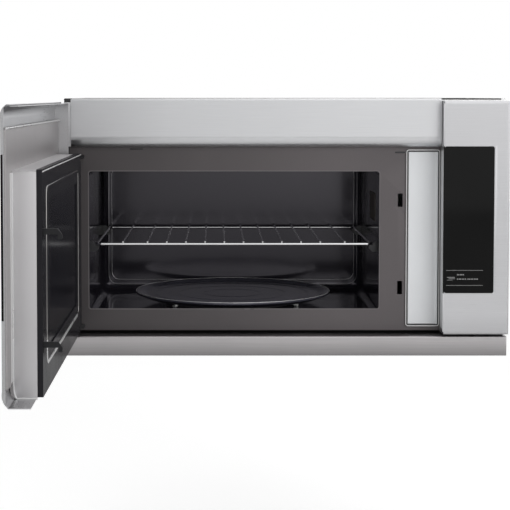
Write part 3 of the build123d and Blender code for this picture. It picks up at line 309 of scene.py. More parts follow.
finishes = {
    # name: (darker tone, lighter tone), (roughness), and what else differs
    "stainless": dict(tones=((0.50, 0.50, 0.51), (0.60, 0.60, 0.61)), rough=(0.26, 0.40), metallic=1.0,
                      grain=(10, 900, 900), grainBump=0.10),
    "doorStainless": dict(tones=((0.50, 0.50, 0.51), (0.60, 0.60, 0.61)), rough=(0.26, 0.40), metallic=1.0,
                          grain=(900, 10, 900), grainBump=0.10),
    "skinInside": dict(tones=((0.36, 0.345, 0.347), (0.43, 0.41, 0.415)), rough=(0.34, 0.5), metallic=0.6,
                       grain=(600, 14, 600), grainBump=0.06),
    "endSilver": dict(
        tones=((0.52, 0.51, 0.52), (0.58, 0.57, 0.58)), rough=(0.36, 0.48), metallic=0.6, peel=0.03
    ),
    "padSilver": dict(
        tones=((0.68, 0.69, 0.705), (0.75, 0.765, 0.78)), rough=(0.34, 0.46), metallic=0.1, peel=0.03
    ),
    "caseBlack": dict(tones=((0.016, 0.016, 0.017), (0.026, 0.026, 0.027)), rough=(0.42, 0.58), peel=0.25),
    # The plate is darker towards the left by painted shade, where the open door shades it.
    "plateGrey": dict(tones=((0.096, 0.086, 0.089), (0.116, 0.104, 0.107)), rough=(0.38, 0.5), metallic=0.25,
                      peel=0.12, speck=0.03, paintedShade=("X", -0.36, 0.12, 0.55)),
    "ovenGrey": dict(tones=((0.018, 0.0165, 0.0225), (0.026, 0.024, 0.031)), rough=(0.09, 0.18), smear=0.0,
                     onShader={"IOR": 1.6, "Coat Weight": 0.16, "Coat Roughness": 0.05,
                               "Specular Tint": (0.94, 0.90, 1.0, 1)}),
    "ovenLine": dict(
        tones=((0.22, 0.215, 0.23), (0.30, 0.295, 0.31)), rough=(0.12, 0.2), metallic=0.8, peel=0.02
    ),
    "plateEdge": dict(
        tones=((0.125, 0.115, 0.118), (0.16, 0.148, 0.152)), rough=(0.25, 0.35), metallic=0.4, peel=0.04
    ),
    # Pale lines on edges and rims: painted highlights.
    "brightEdge": dict(
        tones=((0.62, 0.62, 0.62), (0.70, 0.70, 0.70)), rough=(0.25, 0.35), metallic=0.4, peel=0.02
    ),
    # The lip is pale as a painted highlight, and darker towards the left by painted shade.
    "lipPale": dict(
        tones=((0.84, 0.84, 0.84), (0.90, 0.90, 0.90)), rough=(0.4, 0.5), paintedShade=("X", -0.36, 0.05, 0.6)
    ),
    "beadGloss": dict(
        tones=((0.42, 0.41, 0.40), (0.56, 0.55, 0.54)), rough=(0.08, 0.16), metallic=1.0, peel=0.02
    ),
    "printPale": dict(tones=((0.20, 0.20, 0.20), (0.28, 0.28, 0.28)), rough=(0.5, 0.6), peel=0.02),
    "windowDark": dict(tones=((0.006, 0.006, 0.008), (0.010, 0.010, 0.013)), rough=(0.2, 0.24), smear=0.0,
                       onShader={"Specular IOR Level": 0.05}),
    "hookBlack": dict(tones=((0.012, 0.012, 0.013), (0.022, 0.022, 0.024)), rough=(0.3, 0.45), peel=0.04,
                      onShader={"Specular IOR Level": 0.2}),
    # Panel, band and strip are darker towards one end by painted shade: the panel and strip towards the
    # bottom, the band towards the left.
    "panelSteel": dict(tones=((0.61, 0.61, 0.625), (0.67, 0.67, 0.685)), rough=(0.26, 0.40), metallic=1.0,
                       grain=(12, 1500, 1500), grainBump=0.05, paintedShade=("Z", 0.036, 0.075, 0.82)),
    "bandSteel": dict(tones=((0.70, 0.705, 0.72), (0.76, 0.765, 0.78)), rough=(0.28, 0.42), metallic=1.0,
                      grain=(12, 1500, 1500), grainBump=0.05, paintedShade=("X", -0.366, -0.2, 0.86)),
    "stripSteel": dict(tones=((0.47, 0.455, 0.46), (0.54, 0.52, 0.525)), rough=(0.28, 0.42), metallic=1.0,
                       grain=(10, 900, 900), grainBump=0.06, paintedShade=("Z", 0.0, 0.026, 0.55)),
    "frameGrey": dict(
        tones=((0.055, 0.054, 0.054), (0.085, 0.083, 0.083)), rough=(0.34, 0.46), metallic=0.4, peel=0.05
    ),
    "gapBlack": dict(tones=((0.002, 0.002, 0.002), (0.004, 0.004, 0.004)), rough=(0.6, 0.7),
                     onShader={"Specular IOR Level": 0.0}),
    "glassBlack": dict(tones=((0.006, 0.006, 0.006), (0.009, 0.009, 0.009)), rough=(0.03, 0.08), peel=0.0,
                       onShader={"Specular IOR Level": 0.1}),
    "coverBlack": dict(tones=((0.018, 0.0175, 0.020), (0.026, 0.025, 0.028)), rough=(0.16, 0.28), peel=0.06,
                       onShader={"Specular IOR Level": 0.008}),
    "trayGlass": dict(tones=((0.046, 0.045, 0.058), (0.064, 0.063, 0.080)), rough=(0.05, 0.12), peel=0.01,
                      onShader={"Specular Tint": (0.92, 0.90, 1.0, 1)}),
    "lensClear": dict(tones=((0.55, 0.56, 0.56), (0.68, 0.69, 0.69)), rough=(0.12, 0.25), peel=0.1),
    "zincSheet": dict(
        tones=((0.36, 0.37, 0.38), (0.52, 0.53, 0.54)), rough=(0.34, 0.5), metallic=0.9, peel=0.1
    ),
    "chromeWire": dict(
        tones=((0.72, 0.72, 0.73), (0.82, 0.82, 0.83)), rough=(0.06, 0.16), metallic=1.0, peel=0.02
    ),
    "whitePlastic": dict(tones=((0.80, 0.80, 0.78), (0.88, 0.88, 0.86)), rough=(0.38, 0.52), peel=0.08),
    "clipPlastic": dict(tones=((0.010, 0.010, 0.011), (0.018, 0.018, 0.020)), rough=(0.2, 0.34), peel=0.06),
    "blackPlastic": dict(tones=((0.018, 0.018, 0.018), (0.03, 0.03, 0.03)), rough=(0.4, 0.56), peel=0.2),
    "boardGreen": dict(tones=((0.02, 0.10, 0.035), (0.03, 0.15, 0.05)), rough=(0.3, 0.45), peel=0.1),
    "bareSteel": dict(
        tones=((0.30, 0.30, 0.31), (0.42, 0.42, 0.43)), rough=(0.3, 0.46), metallic=1.0, peel=0.05
    ),
    "meshAluminium": dict(
        tones=((0.48, 0.48, 0.50), (0.62, 0.62, 0.64)), rough=(0.34, 0.48), metallic=0.9, peel=0.05
    ),
    "carbonBlack": dict(tones=((0.012, 0.012, 0.012), (0.03, 0.03, 0.03)), rough=(0.8, 0.95), peel=0.8),
    "micaSheet": dict(tones=((0.05, 0.045, 0.038), (0.075, 0.068, 0.058)), rough=(0.4, 0.6), peel=0.2),
}
materials = {name: finish(name, **values) for name, values in finishes.items()}
paintOf = {
    "stainless": "stainless", "liner_metal": "skinInside", "black_case": "caseBlack",
    "grey_enamel": "plateGrey", "black_glass": "glassBlack", "black_gloss": "coverBlack",
    "smoked_glass": "trayGlass", "clear_glass": "lensClear", "galvanised": "zincSheet",
    "chrome_wire": "chromeWire", "white_plastic": "whitePlastic", "black_plastic": "blackPlastic",
    "green_board": "boardGreen", "steel": "bareSteel", "aluminium_mesh": "meshAluminium",
    "carbon": "carbonBlack", "mica": "micaSheet",
}
ownPaint = {
    "bottom_strip": "stripSteel", "latch_bar": "hookBlack", "inner_window": "windowDark",
    "control_bezel": "panelSteel", "vent_band": "bandSteel", "hinge_bracket_upper": "clipPlastic",
    "door_skin": "doorStainless", "cavity": "ovenGrey", "pocket_frame": "frameGrey",
    "rack_supports": "clipPlastic", "choke_box": "endSilver",
}
print("stage: finishes ready")

# floor

reach = studio["floorReach"]
level = studio["floorLevel"]
floorMesh = bpy.data.meshes.new("floor")
corners = [(-reach, -reach, level), (reach, -reach, level), (reach, reach, level), (-reach, reach, level)]
floorMesh.from_pydata(corners, [], [(0, 1, 2, 3)])
floor = bpy.data.objects.new("floor", floorMesh)
bpy.context.scene.collection.objects.link(floor)
floorMaterial = bpy.data.materials.new("paleFloor")
floorMaterial.use_nodes = True
tree = floorMaterial.node_tree
shader = tree.nodes["Principled BSDF"]
shader.inputs["Base Color"].default_value = (*[studio["floorTone"]] * 3, 1)
shader.inputs["Roughness"].default_value = studio["floorRough"]
seenBy = put(tree, "LightPath", {}, {})
glow = put(
    tree, "Math", {"operation": "MULTIPLY"}, {0: seenBy.outputs["Is Camera Ray"], 1: studio["floorGlow"]}
)
shader.inputs["Emission Color"].default_value = (1, 1, 1, 1)
tree.links.new(glow.outputs[0], shader.inputs["Emission Strength"])
# Seen from below the floor is clear, so that the underside can be looked at.
facing = put(tree, "NewGeometry", {}, {}).outputs["Backfacing"]
fromBelow = put(tree, "Math", {"operation": "MULTIPLY"}, {0: facing, 1: seenBy.outputs["Is Camera Ray"]})
see = put(tree, "BsdfTransparent", {}, {})
sides = put(tree, "MixShader", {}, {0: fromBelow.outputs[0], 1: shader.outputs[0], 2: see.outputs[0]})
tree.links.new(sides.outputs[0], tree.nodes["Material Output"].inputs["Surface"])
floorMesh.materials.append(floorMaterial)

# surfaces worked out from two parameters


def addPiece(name, mesh, body, paint):
    piece = bpy.data.objects.new(name, mesh)
    bpy.context.scene.collection.objects.link(piece)
    mesh.materials.append(materials[paint])
    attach(piece, body)
    return piece


def gridMesh(name, points, closeRows=False):
    # points is rows x columns x 3, and each row closes on itself. Each cell becomes a face. Either
    # the last row joins the first, or a cap fills each end row.
    rows, columns = points.shape[:2]
    index = np.arange(rows * columns).reshape(rows, columns)
    if closeRows:
        index = np.vstack([index, index[:1]])
    index = np.hstack([index, index[:, :1]])
    quads = np.stack([index[:-1, :-1], index[:-1, 1:], index[1:, 1:], index[1:, :-1]], axis=-1).reshape(-1, 4)
    faces = quads.tolist()
    if not closeRows:
        faces.append(np.arange(columns)[::-1].tolist())
        faces.append((np.arange(columns) + (rows - 1) * columns).tolist())
    mesh = bpy.data.meshes.new(name)
    mesh.from_pydata(points.reshape(-1, 3).tolist(), [], faces)
    outwards(mesh)
    return mesh


sharpFrom = 35  # degrees between two faces past which their edge is shaded sharp


def outwards(mesh):
    # Joins doubled points, turns every face outwards and splits the shading at sharp edges.
    shell = bmesh.new()
    shell.from_mesh(mesh)
    bmesh.ops.remove_doubles(shell, verts=shell.verts, dist=1e-6)
    bmesh.ops.recalc_face_normals(shell, faces=shell.faces)
    shell.to_mesh(mesh)
    shell.free()
    mesh.shade_smooth()
    mesh.set_sharp_from_angle(angle=math.radians(sharpFrom))


def roundedOutline(low, high, radius, steps):
    # A rounded rectangle in a plane: each corner is its centre plus radius times (cos, sin).
    centres = np.array([
        (high[0] - radius, high[1] - radius),
        (low[0] + radius, high[1] - radius),
        (low[0] + radius, low[1] + radius),
        (high[0] - radius, low[1] + radius),
    ])
    turn = np.linspace(0, math.pi / 2, steps + 1)
    angles = turn[None, :] + np.arange(4)[:, None] * math.pi / 2
    rim = np.stack([np.cos(angles), np.sin(angles)], axis=-1)
    return (centres[:, None, :] + radius * rim).reshape(-1, 2)


def turnedMesh(name, profile, centre, count):
    # A profile of (radius, height) turned about the upright axis through the centre.
    turn = np.linspace(0, 2 * math.pi, count, endpoint=False)
    flat = np.stack([np.cos(turn), np.sin(turn)], axis=-1)
    heights = np.broadcast_to(profile[:, None, 1:], (len(profile), count, 1))
    points = np.concatenate([profile[:, None, :1] * flat[None], heights], axis=-1) + np.asarray(centre)
    return gridMesh(name, points)


# solids kept as they are, with fine rounded edges


rounding = {"width": 0.0004, "segments": 2, "fromAngle": 34, "flatTo": 0.5, "sinkReach": 1e-4}


def dressed(node):
    # A merged copy of a plain solid with a fine rounded edge and smooth shading. The flat sides
    # named in sunk go in by the height of their ribs.
    mesh = nodes[node].data.copy()
    shell = bmesh.new()
    shell.from_mesh(mesh)
    bmesh.ops.remove_doubles(shell, verts=shell.verts, dist=1e-6)
    for axis, level, sunkTo in sunk.get(node, ()):
        for vert in shell.verts:
            if abs(vert.co[axis] - level) < rounding["sinkReach"]:
                vert.co[axis] = sunkTo
    flatTo = math.radians(rounding["flatTo"])
    bmesh.ops.dissolve_limit(shell, angle_limit=flatTo, verts=shell.verts, edges=shell.edges)
    shell.to_mesh(mesh)
    shell.free()
    mesh.shade_smooth()
    piece = bpy.data.objects.new(node + "_made", mesh)
    bpy.context.scene.collection.objects.link(piece)
    edge = piece.modifiers.new("edge", "BEVEL")
    edge.width = rounding["width"]
    edge.segments = rounding["segments"]
    edge.limit_method = "ANGLE"
    edge.angle_limit = math.radians(rounding["fromAngle"])
    flatten = piece.modifiers.new("flatten", "WEIGHTED_NORMAL")
    flatten.weight = 100
    flatten.keep_sharp = True
    mesh.materials.clear()
    mesh.materials.append(materials[ownPaint.get(node) or paintOf[slotOf[node]]])
    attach(piece, bodyOf[node])
    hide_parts(node)


# pieces drawn from formulas


def unitRows(vectors):
    # Each vector over its own length; the tiny term keeps a zero vector from dividing by zero.
    return vectors / (np.linalg.norm(vectors, axis=1)[:, None] + 1e-12)


def solidFrom(name, flat, near, far, edge, order=(0, 2, 1), hinge=None, bar=None):
    # A flat outline made solid between near and far: its rim turns in along a quarter circle at both ends.
    # With a bar the middle stays open, so the section runs round a ring. order says which of
    # (across, up, depth) is x, y and z, and hinge turns a closed door's piece to the open door.
    before = flat - np.roll(flat, 1, axis=0)
    after = np.roll(flat, -1, axis=0) - flat
    along = unitRows(before) + unitRows(after)
    inward = unitRows(np.column_stack([-along[:, 1], along[:, 0]]))
    turn = np.linspace(0, math.pi / 2, 4)
    side = math.copysign(1, far - near)
    nearRim = np.column_stack([edge * (1 - np.sin(turn)), near + side * edge * (1 - np.cos(turn))])
    farRim = np.column_stack([edge * (1 - np.cos(turn)), far - side * edge * (1 - np.sin(turn))])
    if bar:
        innerNear, innerFar = nearRim * (-1, 1) + (bar, 0), farRim * (-1, 1) + (bar, 0)
        section = np.vstack([nearRim[::-1], innerNear, innerFar, farRim[::-1]])
    else:
        section = np.vstack([nearRim, farRim])
    rings = flat[None] + section[:, None, :1] * inward[None]
    depth = np.broadcast_to(section[:, None, 1:], (*rings.shape[:2], 1))
    points = np.concatenate([rings, depth], axis=-1)[..., list(order)]
    if hinge is not None:
        points = openedOut(points, hinge)
    return gridMesh(name, points, closeRows=bool(bar))


def plateFrom(name, place, order=(0, 2, 1), hinge=None):
    # A rounded plate, or a ring where there is a bar, made from its settings.
    outline = roundedOutline(place["low"], place["high"], place["radius"], place.get("steps", 5))
    near, far, edge = [place[label] for label in ("near", "far", "edge")]
    return solidFrom(name, outline, near, far, edge, order, hinge, place.get("bar"))


def openedOut(points, hinge):
    # A quarter turn about the hinge: x = hx + (y - hy) and y = hy - (x - hx).
    x, y, z = np.moveaxis(points, -1, 0)
    return np.stack([hinge[0] + y - hinge[1], hinge[1] - (x - hinge[0]), z], axis=-1)


def tubeMesh(name, path, radius, sides, closed=False, hinge=None):
    # A round section carried along a path: at each point it lies across the path's direction there.
    # guide is a direction in which the path doesn't run, and its cross products give the section's plane.
    path = np.asarray(path, float)
    if closed:
        ahead = np.roll(path, -1, axis=0) - np.roll(path, 1, axis=0)
    else:
        ahead = np.gradient(path, axis=0)
    ahead /= np.linalg.norm(ahead, axis=1)[:, None]
    guide = np.array((0.0, 0.0, 1.0)) if np.abs(ahead[:, 2]).max() < 0.9 else np.array((0.31, 0.95, 0.05))
    if np.abs(ahead @ guide).max() > 0.98:
        guide = np.array((1.0, 0.02, 0.03))
    first = np.cross(ahead, guide)
    first /= np.linalg.norm(first, axis=1)[:, None]
    second = np.cross(ahead, first)
    turn = np.linspace(0, 2 * math.pi, sides, endpoint=False)
    ring = np.cos(turn)[None, :, None] * first[:, None] + np.sin(turn)[None, :, None] * second[:, None]
    points = path[:, None] + radius * ring
    if hinge is not None:
        points = openedOut(points, hinge)
    return gridMesh(name, points, closeRows=closed)


def joined(name, meshes):
    # One mesh from several, so that a repeated shape makes a single piece.
    shell = bmesh.new()
    for mesh in meshes:
        shell.from_mesh(mesh)
        bpy.data.meshes.remove(mesh)
    whole = bpy.data.meshes.new(name)
    shell.to_mesh(whole)
    shell.free()
    whole.shade_smooth()
    whole.set_sharp_from_angle(angle=math.radians(sharpFrom))
    return whole


# door: bright edges painted as highlights, ring bead and the capped end of the box

doorEdge = {
    "hinge": (-0.365, -0.396),
    "endX": 0.2070,
    "endThick": 0.0010,
    "endLow": 0.0412,
    "endHigh": 0.3435,
    "endBack": -0.4194,
    "endFront": -0.3872,
    "cornerWide": 0.0052,
    "cornerTall": 0.026,
    "lineRadius": 0.0014,
    "linerTop": (0.4022, -0.4187),
    "linerSpan": (-0.3770, 0.2600),
    "boxTop": (0.3437, -0.3798),
    "boxSpan": (-0.3580, 0.2040),
    "linerRadius": 0.0016,
    "boxRadius": 0.0010,
    "plateEdge": 0.0003,
    "sides": 10,
}
hinge = doorEdge["hinge"]
turn = np.linspace(0, math.pi / 2, 14)
# The corner is a quarter of an ellipse: across = wide (1 - cos), up = tall (1 - sin).
cornerArc = np.column_stack([
    doorEdge["endBack"] + doorEdge["cornerWide"] * (1 - np.cos(turn)),
    doorEdge["endLow"] + doorEdge["cornerTall"] * (1 - np.sin(turn)),
])
endLow, endHigh, endBack, endFront = [doorEdge[side] for side in ("endLow", "endHigh", "endBack", "endFront")]
endOutline = np.vstack([cornerArc, [(endFront, endLow), (endFront, endHigh), (endBack, endHigh)]])
endX = doorEdge["endX"]
endPlate = addPiece("endPlate", solidFrom(
    "endPlate", endOutline, endX, endX - doorEdge["endThick"], doorEdge["plateEdge"], (2, 0, 1), hinge
), "door", "endSilver")
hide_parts("grip_end_panel")

# A pale line, a painted highlight, runs down the panel's outer edge, round the corner and in along its foot.
down = np.linspace(endHigh - 0.001, endLow + doorEdge["cornerTall"] + 0.002, 24)
along = np.linspace(endBack + doorEdge["cornerWide"] + 0.001, endFront, 12)
linePath = np.vstack([
    np.column_stack([np.full(24, endBack), down]), cornerArc, np.column_stack([along, np.full(12, endLow)])
])
addPiece("endLine", tubeMesh(
    "endLine", np.column_stack([np.full(len(linePath), endX), linePath]),
    doorEdge["lineRadius"], doorEdge["sides"], hinge=hinge
), "door", "brightEdge")

# A pale strip beside the end panel is a painted highlight.
seamStrip = {
    "low": (0.2085, 0.0660), "high": (0.2260, 0.3430), "radius": 0.001,
    "near": -0.4195, "far": -0.4188, "edge": 0.0002,
}
addPiece("seamStrip", plateFrom("seamStrip", seamStrip, hinge=hinge), "door", "brightEdge")

# The channel under the liner is closed by a cap that follows the rolled bottom of the skin.
cap = {
    "middle": (-0.4180, 0.0625), "wide": 0.0066, "tall": 0.0214, "liner": -0.4120, "skin": -0.4219,
    "low": 0.0413, "bend": 0.0630, "high": 0.0800, "near": 0.2060, "far": 0.2058, "edge": 0.00005,
}
# Its rolled side is a quarter of an ellipse: across = -wide cos, up = -tall sin, from its middle.
capArc = np.column_stack([
    cap["middle"][0] - cap["wide"] * np.cos(turn), cap["middle"][1] - cap["tall"] * np.sin(turn)
])
capOutline = np.vstack([capArc, [
    (cap["liner"], cap["low"]), (cap["liner"], cap["high"]),
    (cap["skin"], cap["high"]), (cap["skin"], cap["bend"]),
]])
addPiece("endCap", solidFrom(
    "endCap", capOutline, cap["near"], cap["far"], cap["edge"], (2, 0, 1), hinge
), "door", "skinInside")

# Straight pale lines along the top of the liner and of the box are painted highlights.
for kind in ("liner", "box"):
    name = kind + "Edge"
    up, depth = doorEdge[kind + "Top"]
    run = np.linspace(*doorEdge[kind + "Span"], 40)
    path = np.column_stack([run, np.full(40, depth), np.full(40, up)])
    addPiece(name, tubeMesh(
        name, path, doorEdge[kind + "Radius"], doorEdge["sides"], hinge=hinge
    ), "door", "brightEdge")

ringBead = {
    "low": (-0.3050, 0.0780), "high": (0.1600, 0.3220), "radius": 0.014, "steps": 12,
    "near": -0.3805, "far": -0.3788, "edge": 0.0008, "bar": 0.0030,
}
addPiece("ringBead", plateFrom("ringBead", ringBead, hinge=hinge), "door", "beadGloss")
# A painted highlight lies on the ring's lower free corner and its foot: quarter arcs of two radii, then
# straight runs.
foot = {"end": -0.2800, "top": 0.1120, "wide": 0.0048, "near": -0.38065, "far": -0.3787, "edge": 0.0006}
bottomTurn = np.linspace(0, math.pi / 2, 10)
centre = np.array([ringBead["high"][0] - ringBead["radius"], ringBead["low"][1] + ringBead["radius"]])
outerArc, innerArc = [
    centre + size * np.column_stack([np.cos(bottomTurn), -np.sin(bottomTurn)])
    for size in (ringBead["radius"], ringBead["radius"] - foot["wide"])
]
footOutline = np.vstack([
    [(innerArc[0, 0], foot["top"])], innerArc,
    [(foot["end"], innerArc[-1, 1]), (foot["end"], outerArc[-1, 1])], outerArc[::-1],
    [(outerArc[0, 0], foot["top"])],
])
addPiece("ringFoot", solidFrom(
    "ringFoot", footOutline, foot["near"], foot["far"], foot["edge"], hinge=hinge
), "door", "brightEdge")
print("stage: door edges made")

# control glass: two fine rules, a plain bar for a sign and two rows of plain bars

marks = {
    "face": -0.42612,
    "back": -0.42590,
    "rules": [((0.2722, 0.1482), (0.3349, 0.1488)), ((0.2723, 0.1226), (0.3349, 0.1232))],
    "sign": [
        ((0.2740, 0.1362), (0.2870, 0.1372)), ((0.2765, 0.1338), (0.2875, 0.1346)),
        ((0.2740, 0.1316), (0.2835, 0.1322)),
    ],
    "upperBars": [0.2908, 0.2932, 0.2962, 0.2984, 0.3010],
    "lowerBars": [
        0.2908, 0.2938, 0.2962, 0.2992, 0.3016, 0.3046, 0.3086,
        0.3110, 0.3140, 0.3164, 0.3194, 0.3222, 0.3246,
    ],
    "barWide": 0.0017,
    "upperSpan": (0.1400, 0.1422),
    "lowerSpan": (0.1326, 0.1346),
    "corner": 0.3,  # of the bar's lesser side
    "edge": 0.00004,
}
bars = marks["rules"] + marks["sign"]
for kind in ("upper", "lower"):
    barLow, barHigh = marks[kind + "Span"]
    bars += [((x, barLow), (x + marks["barWide"], barHigh)) for x in marks[kind + "Bars"]]
addPiece("panelMarks", joined("panelMarks", [
    solidFrom(
        "bar", roundedOutline(low, high, min(high[1] - low[1], high[0] - low[0]) * marks["corner"], 5),
        marks["face"], marks["back"], marks["edge"]
    )
    for low, high in bars
]), "body", "printPale")

# oven: a bead pressed in the back wall, and a fine line along the wall's corners, both pale as painted
# highlights

ovenBead = {
    "low": (-0.3250, 0.0800), "high": (0.1560, 0.3050), "radius": 0.017, "steps": 10,
    "near": -0.0124, "far": -0.0099, "edge": 0.0014, "bar": 0.0030,
}
addPiece("ovenBead", plateFrom("ovenBead", ovenBead), "body", "ovenLine")
ovenCorner = {
    "low": (-0.3302, 0.0716), "high": (0.1612, 0.3100), "radius": 0.020, "steps": 10,
    "near": -0.0144, "far": -0.0112, "edge": 0.0005, "bar": 0.0014,
}
addPiece("ovenCorner", plateFrom("ovenCorner", ovenCorner), "body", "ovenLine")

# tray: a dish whose underside is flat in the middle, with three low rings and a rounded rim

dish = {
    "centre": (-0.0867, -0.194), "hub": 0.0005, "under": 0.0740, "floor": 0.0790,
    "flat": 0.158, "slopeFrom": 0.155, "radius": 0.180, "rim": 0.0855, "lip": 0.0022,
    "underIn": 0.0024, "underBend": 1.3,
    "ringsAt": (0.052, 0.098, 0.140), "ringHeight": 0.0007, "ringWide": 0.0016,
    "around": 144, "lineRadius": 0.1784, "lineHeight": 0.0853, "lineThick": 0.0006,
}
inner = np.linspace(dish["hub"], dish["slopeFrom"], 120)
# Each ring is a bell: height exp(-((radius - at) / wide)^2).
lift = sum(dish["ringHeight"] * np.exp(-((inner - at) / dish["ringWide"]) ** 2) for at in dish["ringsAt"])
# The rim rises as a half cosine from the flat to the edge.
rise = np.linspace(0, 1, 22)[1:]
slopeRadius = dish["slopeFrom"] + rise * (dish["radius"] - dish["lip"] - dish["slopeFrom"])
slopeHeight = dish["floor"] + (dish["rim"] - dish["floor"]) * 0.5 * (1 - np.cos(math.pi * rise))
# The lip is a half circle: radius cos outwards and radius sin up.
bend = np.linspace(math.pi / 2, -math.pi / 2, 9)[1:-1]
lipRadius = dish["radius"] - dish["lip"] * (1 - np.cos(bend))
lipHeight = dish["rim"] - dish["lip"] * (1 - np.sin(bend))
# The underside falls back to the flat as a power of the way in.
back = np.linspace(1, 0, 16)
underRadius = dish["flat"] + back * (dish["radius"] - dish["underIn"] - dish["flat"])
underHeight = dish["under"] + (dish["rim"] - 2 * dish["lip"] - dish["under"]) * back ** dish["underBend"]
profile = np.vstack([
    np.column_stack([inner, dish["floor"] + lift]),
    np.column_stack([slopeRadius, slopeHeight]),
    np.column_stack([lipRadius, lipHeight]),
    np.column_stack([underRadius, underHeight]),
    [(dish["hub"], dish["under"])],
])
trayDish = addPiece("trayDish", turnedMesh(
    "trayDish", profile, (*dish["centre"], 0), dish["around"]
), "tray", "trayGlass")
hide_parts("turntable_tray")
trayDish.visible_shadow = False  # it is glass, so light falls through it on the ring and rollers
# A fine pale line round the top of the rim is a painted highlight.
around = np.linspace(0, 2 * math.pi, dish["around"], endpoint=False)
rimPath = np.column_stack([
    dish["centre"][0] + dish["lineRadius"] * np.cos(around),
    dish["centre"][1] + dish["lineRadius"] * np.sin(around),
    np.full(dish["around"], dish["lineHeight"]),
])
addPiece("trayRim", tubeMesh(
    "trayRim", rimPath, dish["lineThick"], 8, closed=True
), "tray", "brightEdge")
print("stage: oven pieces made")

# front: the band's end flange and the oven opening's edge

bandFlange = {
    "low": (-0.3795, 0.3570), "high": (-0.3674, 0.4330), "radius": 0.001,
    "near": -0.37945, "far": -0.37905, "edge": 0.0001,
}
addPiece("bandFlange", plateFrom("bandFlange", bandFlange), "body", "stainless")
# The opening's lighter edge ring is a painted highlight.
openingEdge = {
    "low": (-0.3374, 0.0762), "high": (0.1640, 0.3145), "radius": 0.004, "steps": 8,
    "near": -0.37835, "far": -0.3768, "edge": 0.00025, "bar": -0.0009,
}
addPiece("openingEdge", plateFrom("openingEdge", openingEdge), "body", "plateEdge")

# Grip pocket: a pale rim round the frame, a painted highlight, and a flat pad whose last few millimetres turn
# forward.
pocketRim = {
    "low": (0.2094, 0.0460), "high": (0.2679, 0.3520), "radius": 0.005, "steps": 10,
    "near": -0.3815, "far": -0.3800, "edge": 0.0005, "bar": 0.0016,
}
addPiece("pocketRim", plateFrom("pocketRim", pocketRim), "body", "brightEdge")
pad = {
    "low": 0.0501, "high": 0.3479, "left": 0.2135, "bend": 0.2590, "right": 0.2638,
    "flat": -0.3796, "back": -0.3783, "turnUp": 0.0040, "trim": 0.0006, "flatFrom": 0.004, "inset": 0.01,
}
# Depth along the pad: flat, then flat - turnUp (1 - cos) over the last stretch. Rows run round its
# front and back.
flatRun = np.concatenate([[0, pad["trim"]], np.linspace(pad["flatFrom"], pad["bend"] - pad["left"], 24)])
curl = np.linspace(0, math.pi / 2, 12)[1:]
acrossPad = np.concatenate([pad["left"] + flatRun, pad["bend"] + (pad["right"] - pad["bend"]) * np.sin(curl)])
turned = np.concatenate([np.zeros(len(flatRun)), pad["turnUp"] * (1 - np.cos(curl))])
front = pad["flat"] - turned
front[0] += pad["trim"]  # the left edge is eased
behind = pad["back"] - turned
loop = np.vstack([np.column_stack([acrossPad, front]), np.column_stack([acrossPad, behind])[::-1]])
heights = np.concatenate([
    [pad["low"], pad["low"] + pad["trim"]],
    np.linspace(pad["low"] + pad["inset"], pad["high"] - pad["inset"], 12),
    [pad["high"] - pad["trim"], pad["high"]],
])
trim = np.zeros(len(heights))
trim[[0, -1]] = pad["trim"]  # so are the two ends
middle = loop.mean(axis=0)
rows = loop[None] + trim[:, None, None] * np.sign(middle - loop)[None]
gripPlate = addPiece("gripPlate", gridMesh("gripPlate", np.concatenate([
    rows, np.broadcast_to(heights[:, None, None], (*rows.shape[:2], 1))
], axis=-1)), "body", "padSilver")
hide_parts("grip_pad")

# Control panel: a border over the glass's right end, lips along the panel's left edge, and its left side
# paler than the panel as a painted highlight.
border = {
    "left": 0.3528, "right": 0.3572, "low": 0.1093, "high": 0.3591, "over": 0.0006, "radius": 0.004,
    "near": -0.42635, "far": -0.4257, "edge": 0.0001,
}
quarter = np.linspace(math.pi / 2, 0, 8)
cornerX = border["left"] - border["radius"] * (1 - np.cos(quarter))
cornerZ = border["radius"] * (1 - np.sin(quarter))
borderOutline = np.vstack([
    [(border["right"], border["low"] - border["over"]), (border["right"], border["high"] + border["over"])],
    [(cornerX[0], border["high"] + border["over"])],
    np.column_stack([cornerX, border["high"] - cornerZ]),
    np.column_stack([cornerX, border["low"] + cornerZ])[::-1],
    [(cornerX[0], border["low"] - border["over"])],
])
addPiece("glassBorder", solidFrom(
    "glassBorder", borderOutline, border["near"], border["far"], border["edge"]
), "body", "panelSteel")
lip = {
    "left": 0.2668, "right": 0.26855, "low": 0.0435, "high": 0.4310,
    "radius": 0.0004, "near": -0.42605, "far": -0.4240, "edge": 0.0002,
}


def lipMesh(name, low, high):
    return plateFrom(name, {**lip, "low": (lip["left"], low), "high": (lip["right"], high)})


addPiece("panelLip", joined("panelLip", [
    lipMesh("lowerLip", lip["low"], border["low"]), lipMesh("upperLip", border["high"], lip["high"])
]), "body", "panelSteel")
addPiece("glassLip", lipMesh("glassLip", border["low"], border["high"]), "body", "glassBlack")
# The panel's left side is painted paler than its front, a painted highlight.
panelSide = {
    "low": (-0.4235, 0.0465), "high": (-0.3880, 0.3515), "radius": 0.0004,
    "near": 0.26825, "far": 0.26852, "edge": 0.0001,
}
addPiece("panelSide", plateFrom("panelSide", panelSide, (2, 0, 1)), "body", "padSilver")

# A pale lip closes the top of the control panel in front of the case; its paleness is a painted highlight,
# darker to the left by painted shade.
panelTopLip = {
    "low": (0.2690, 0.4350), "high": (0.3788, 0.4399), "radius": 0.0004,
    "near": -0.37965, "far": -0.37905, "edge": 0.0001,
}
addPiece("panelTopLip", plateFrom("panelTopLip", panelTopLip), "body", "lipPale")

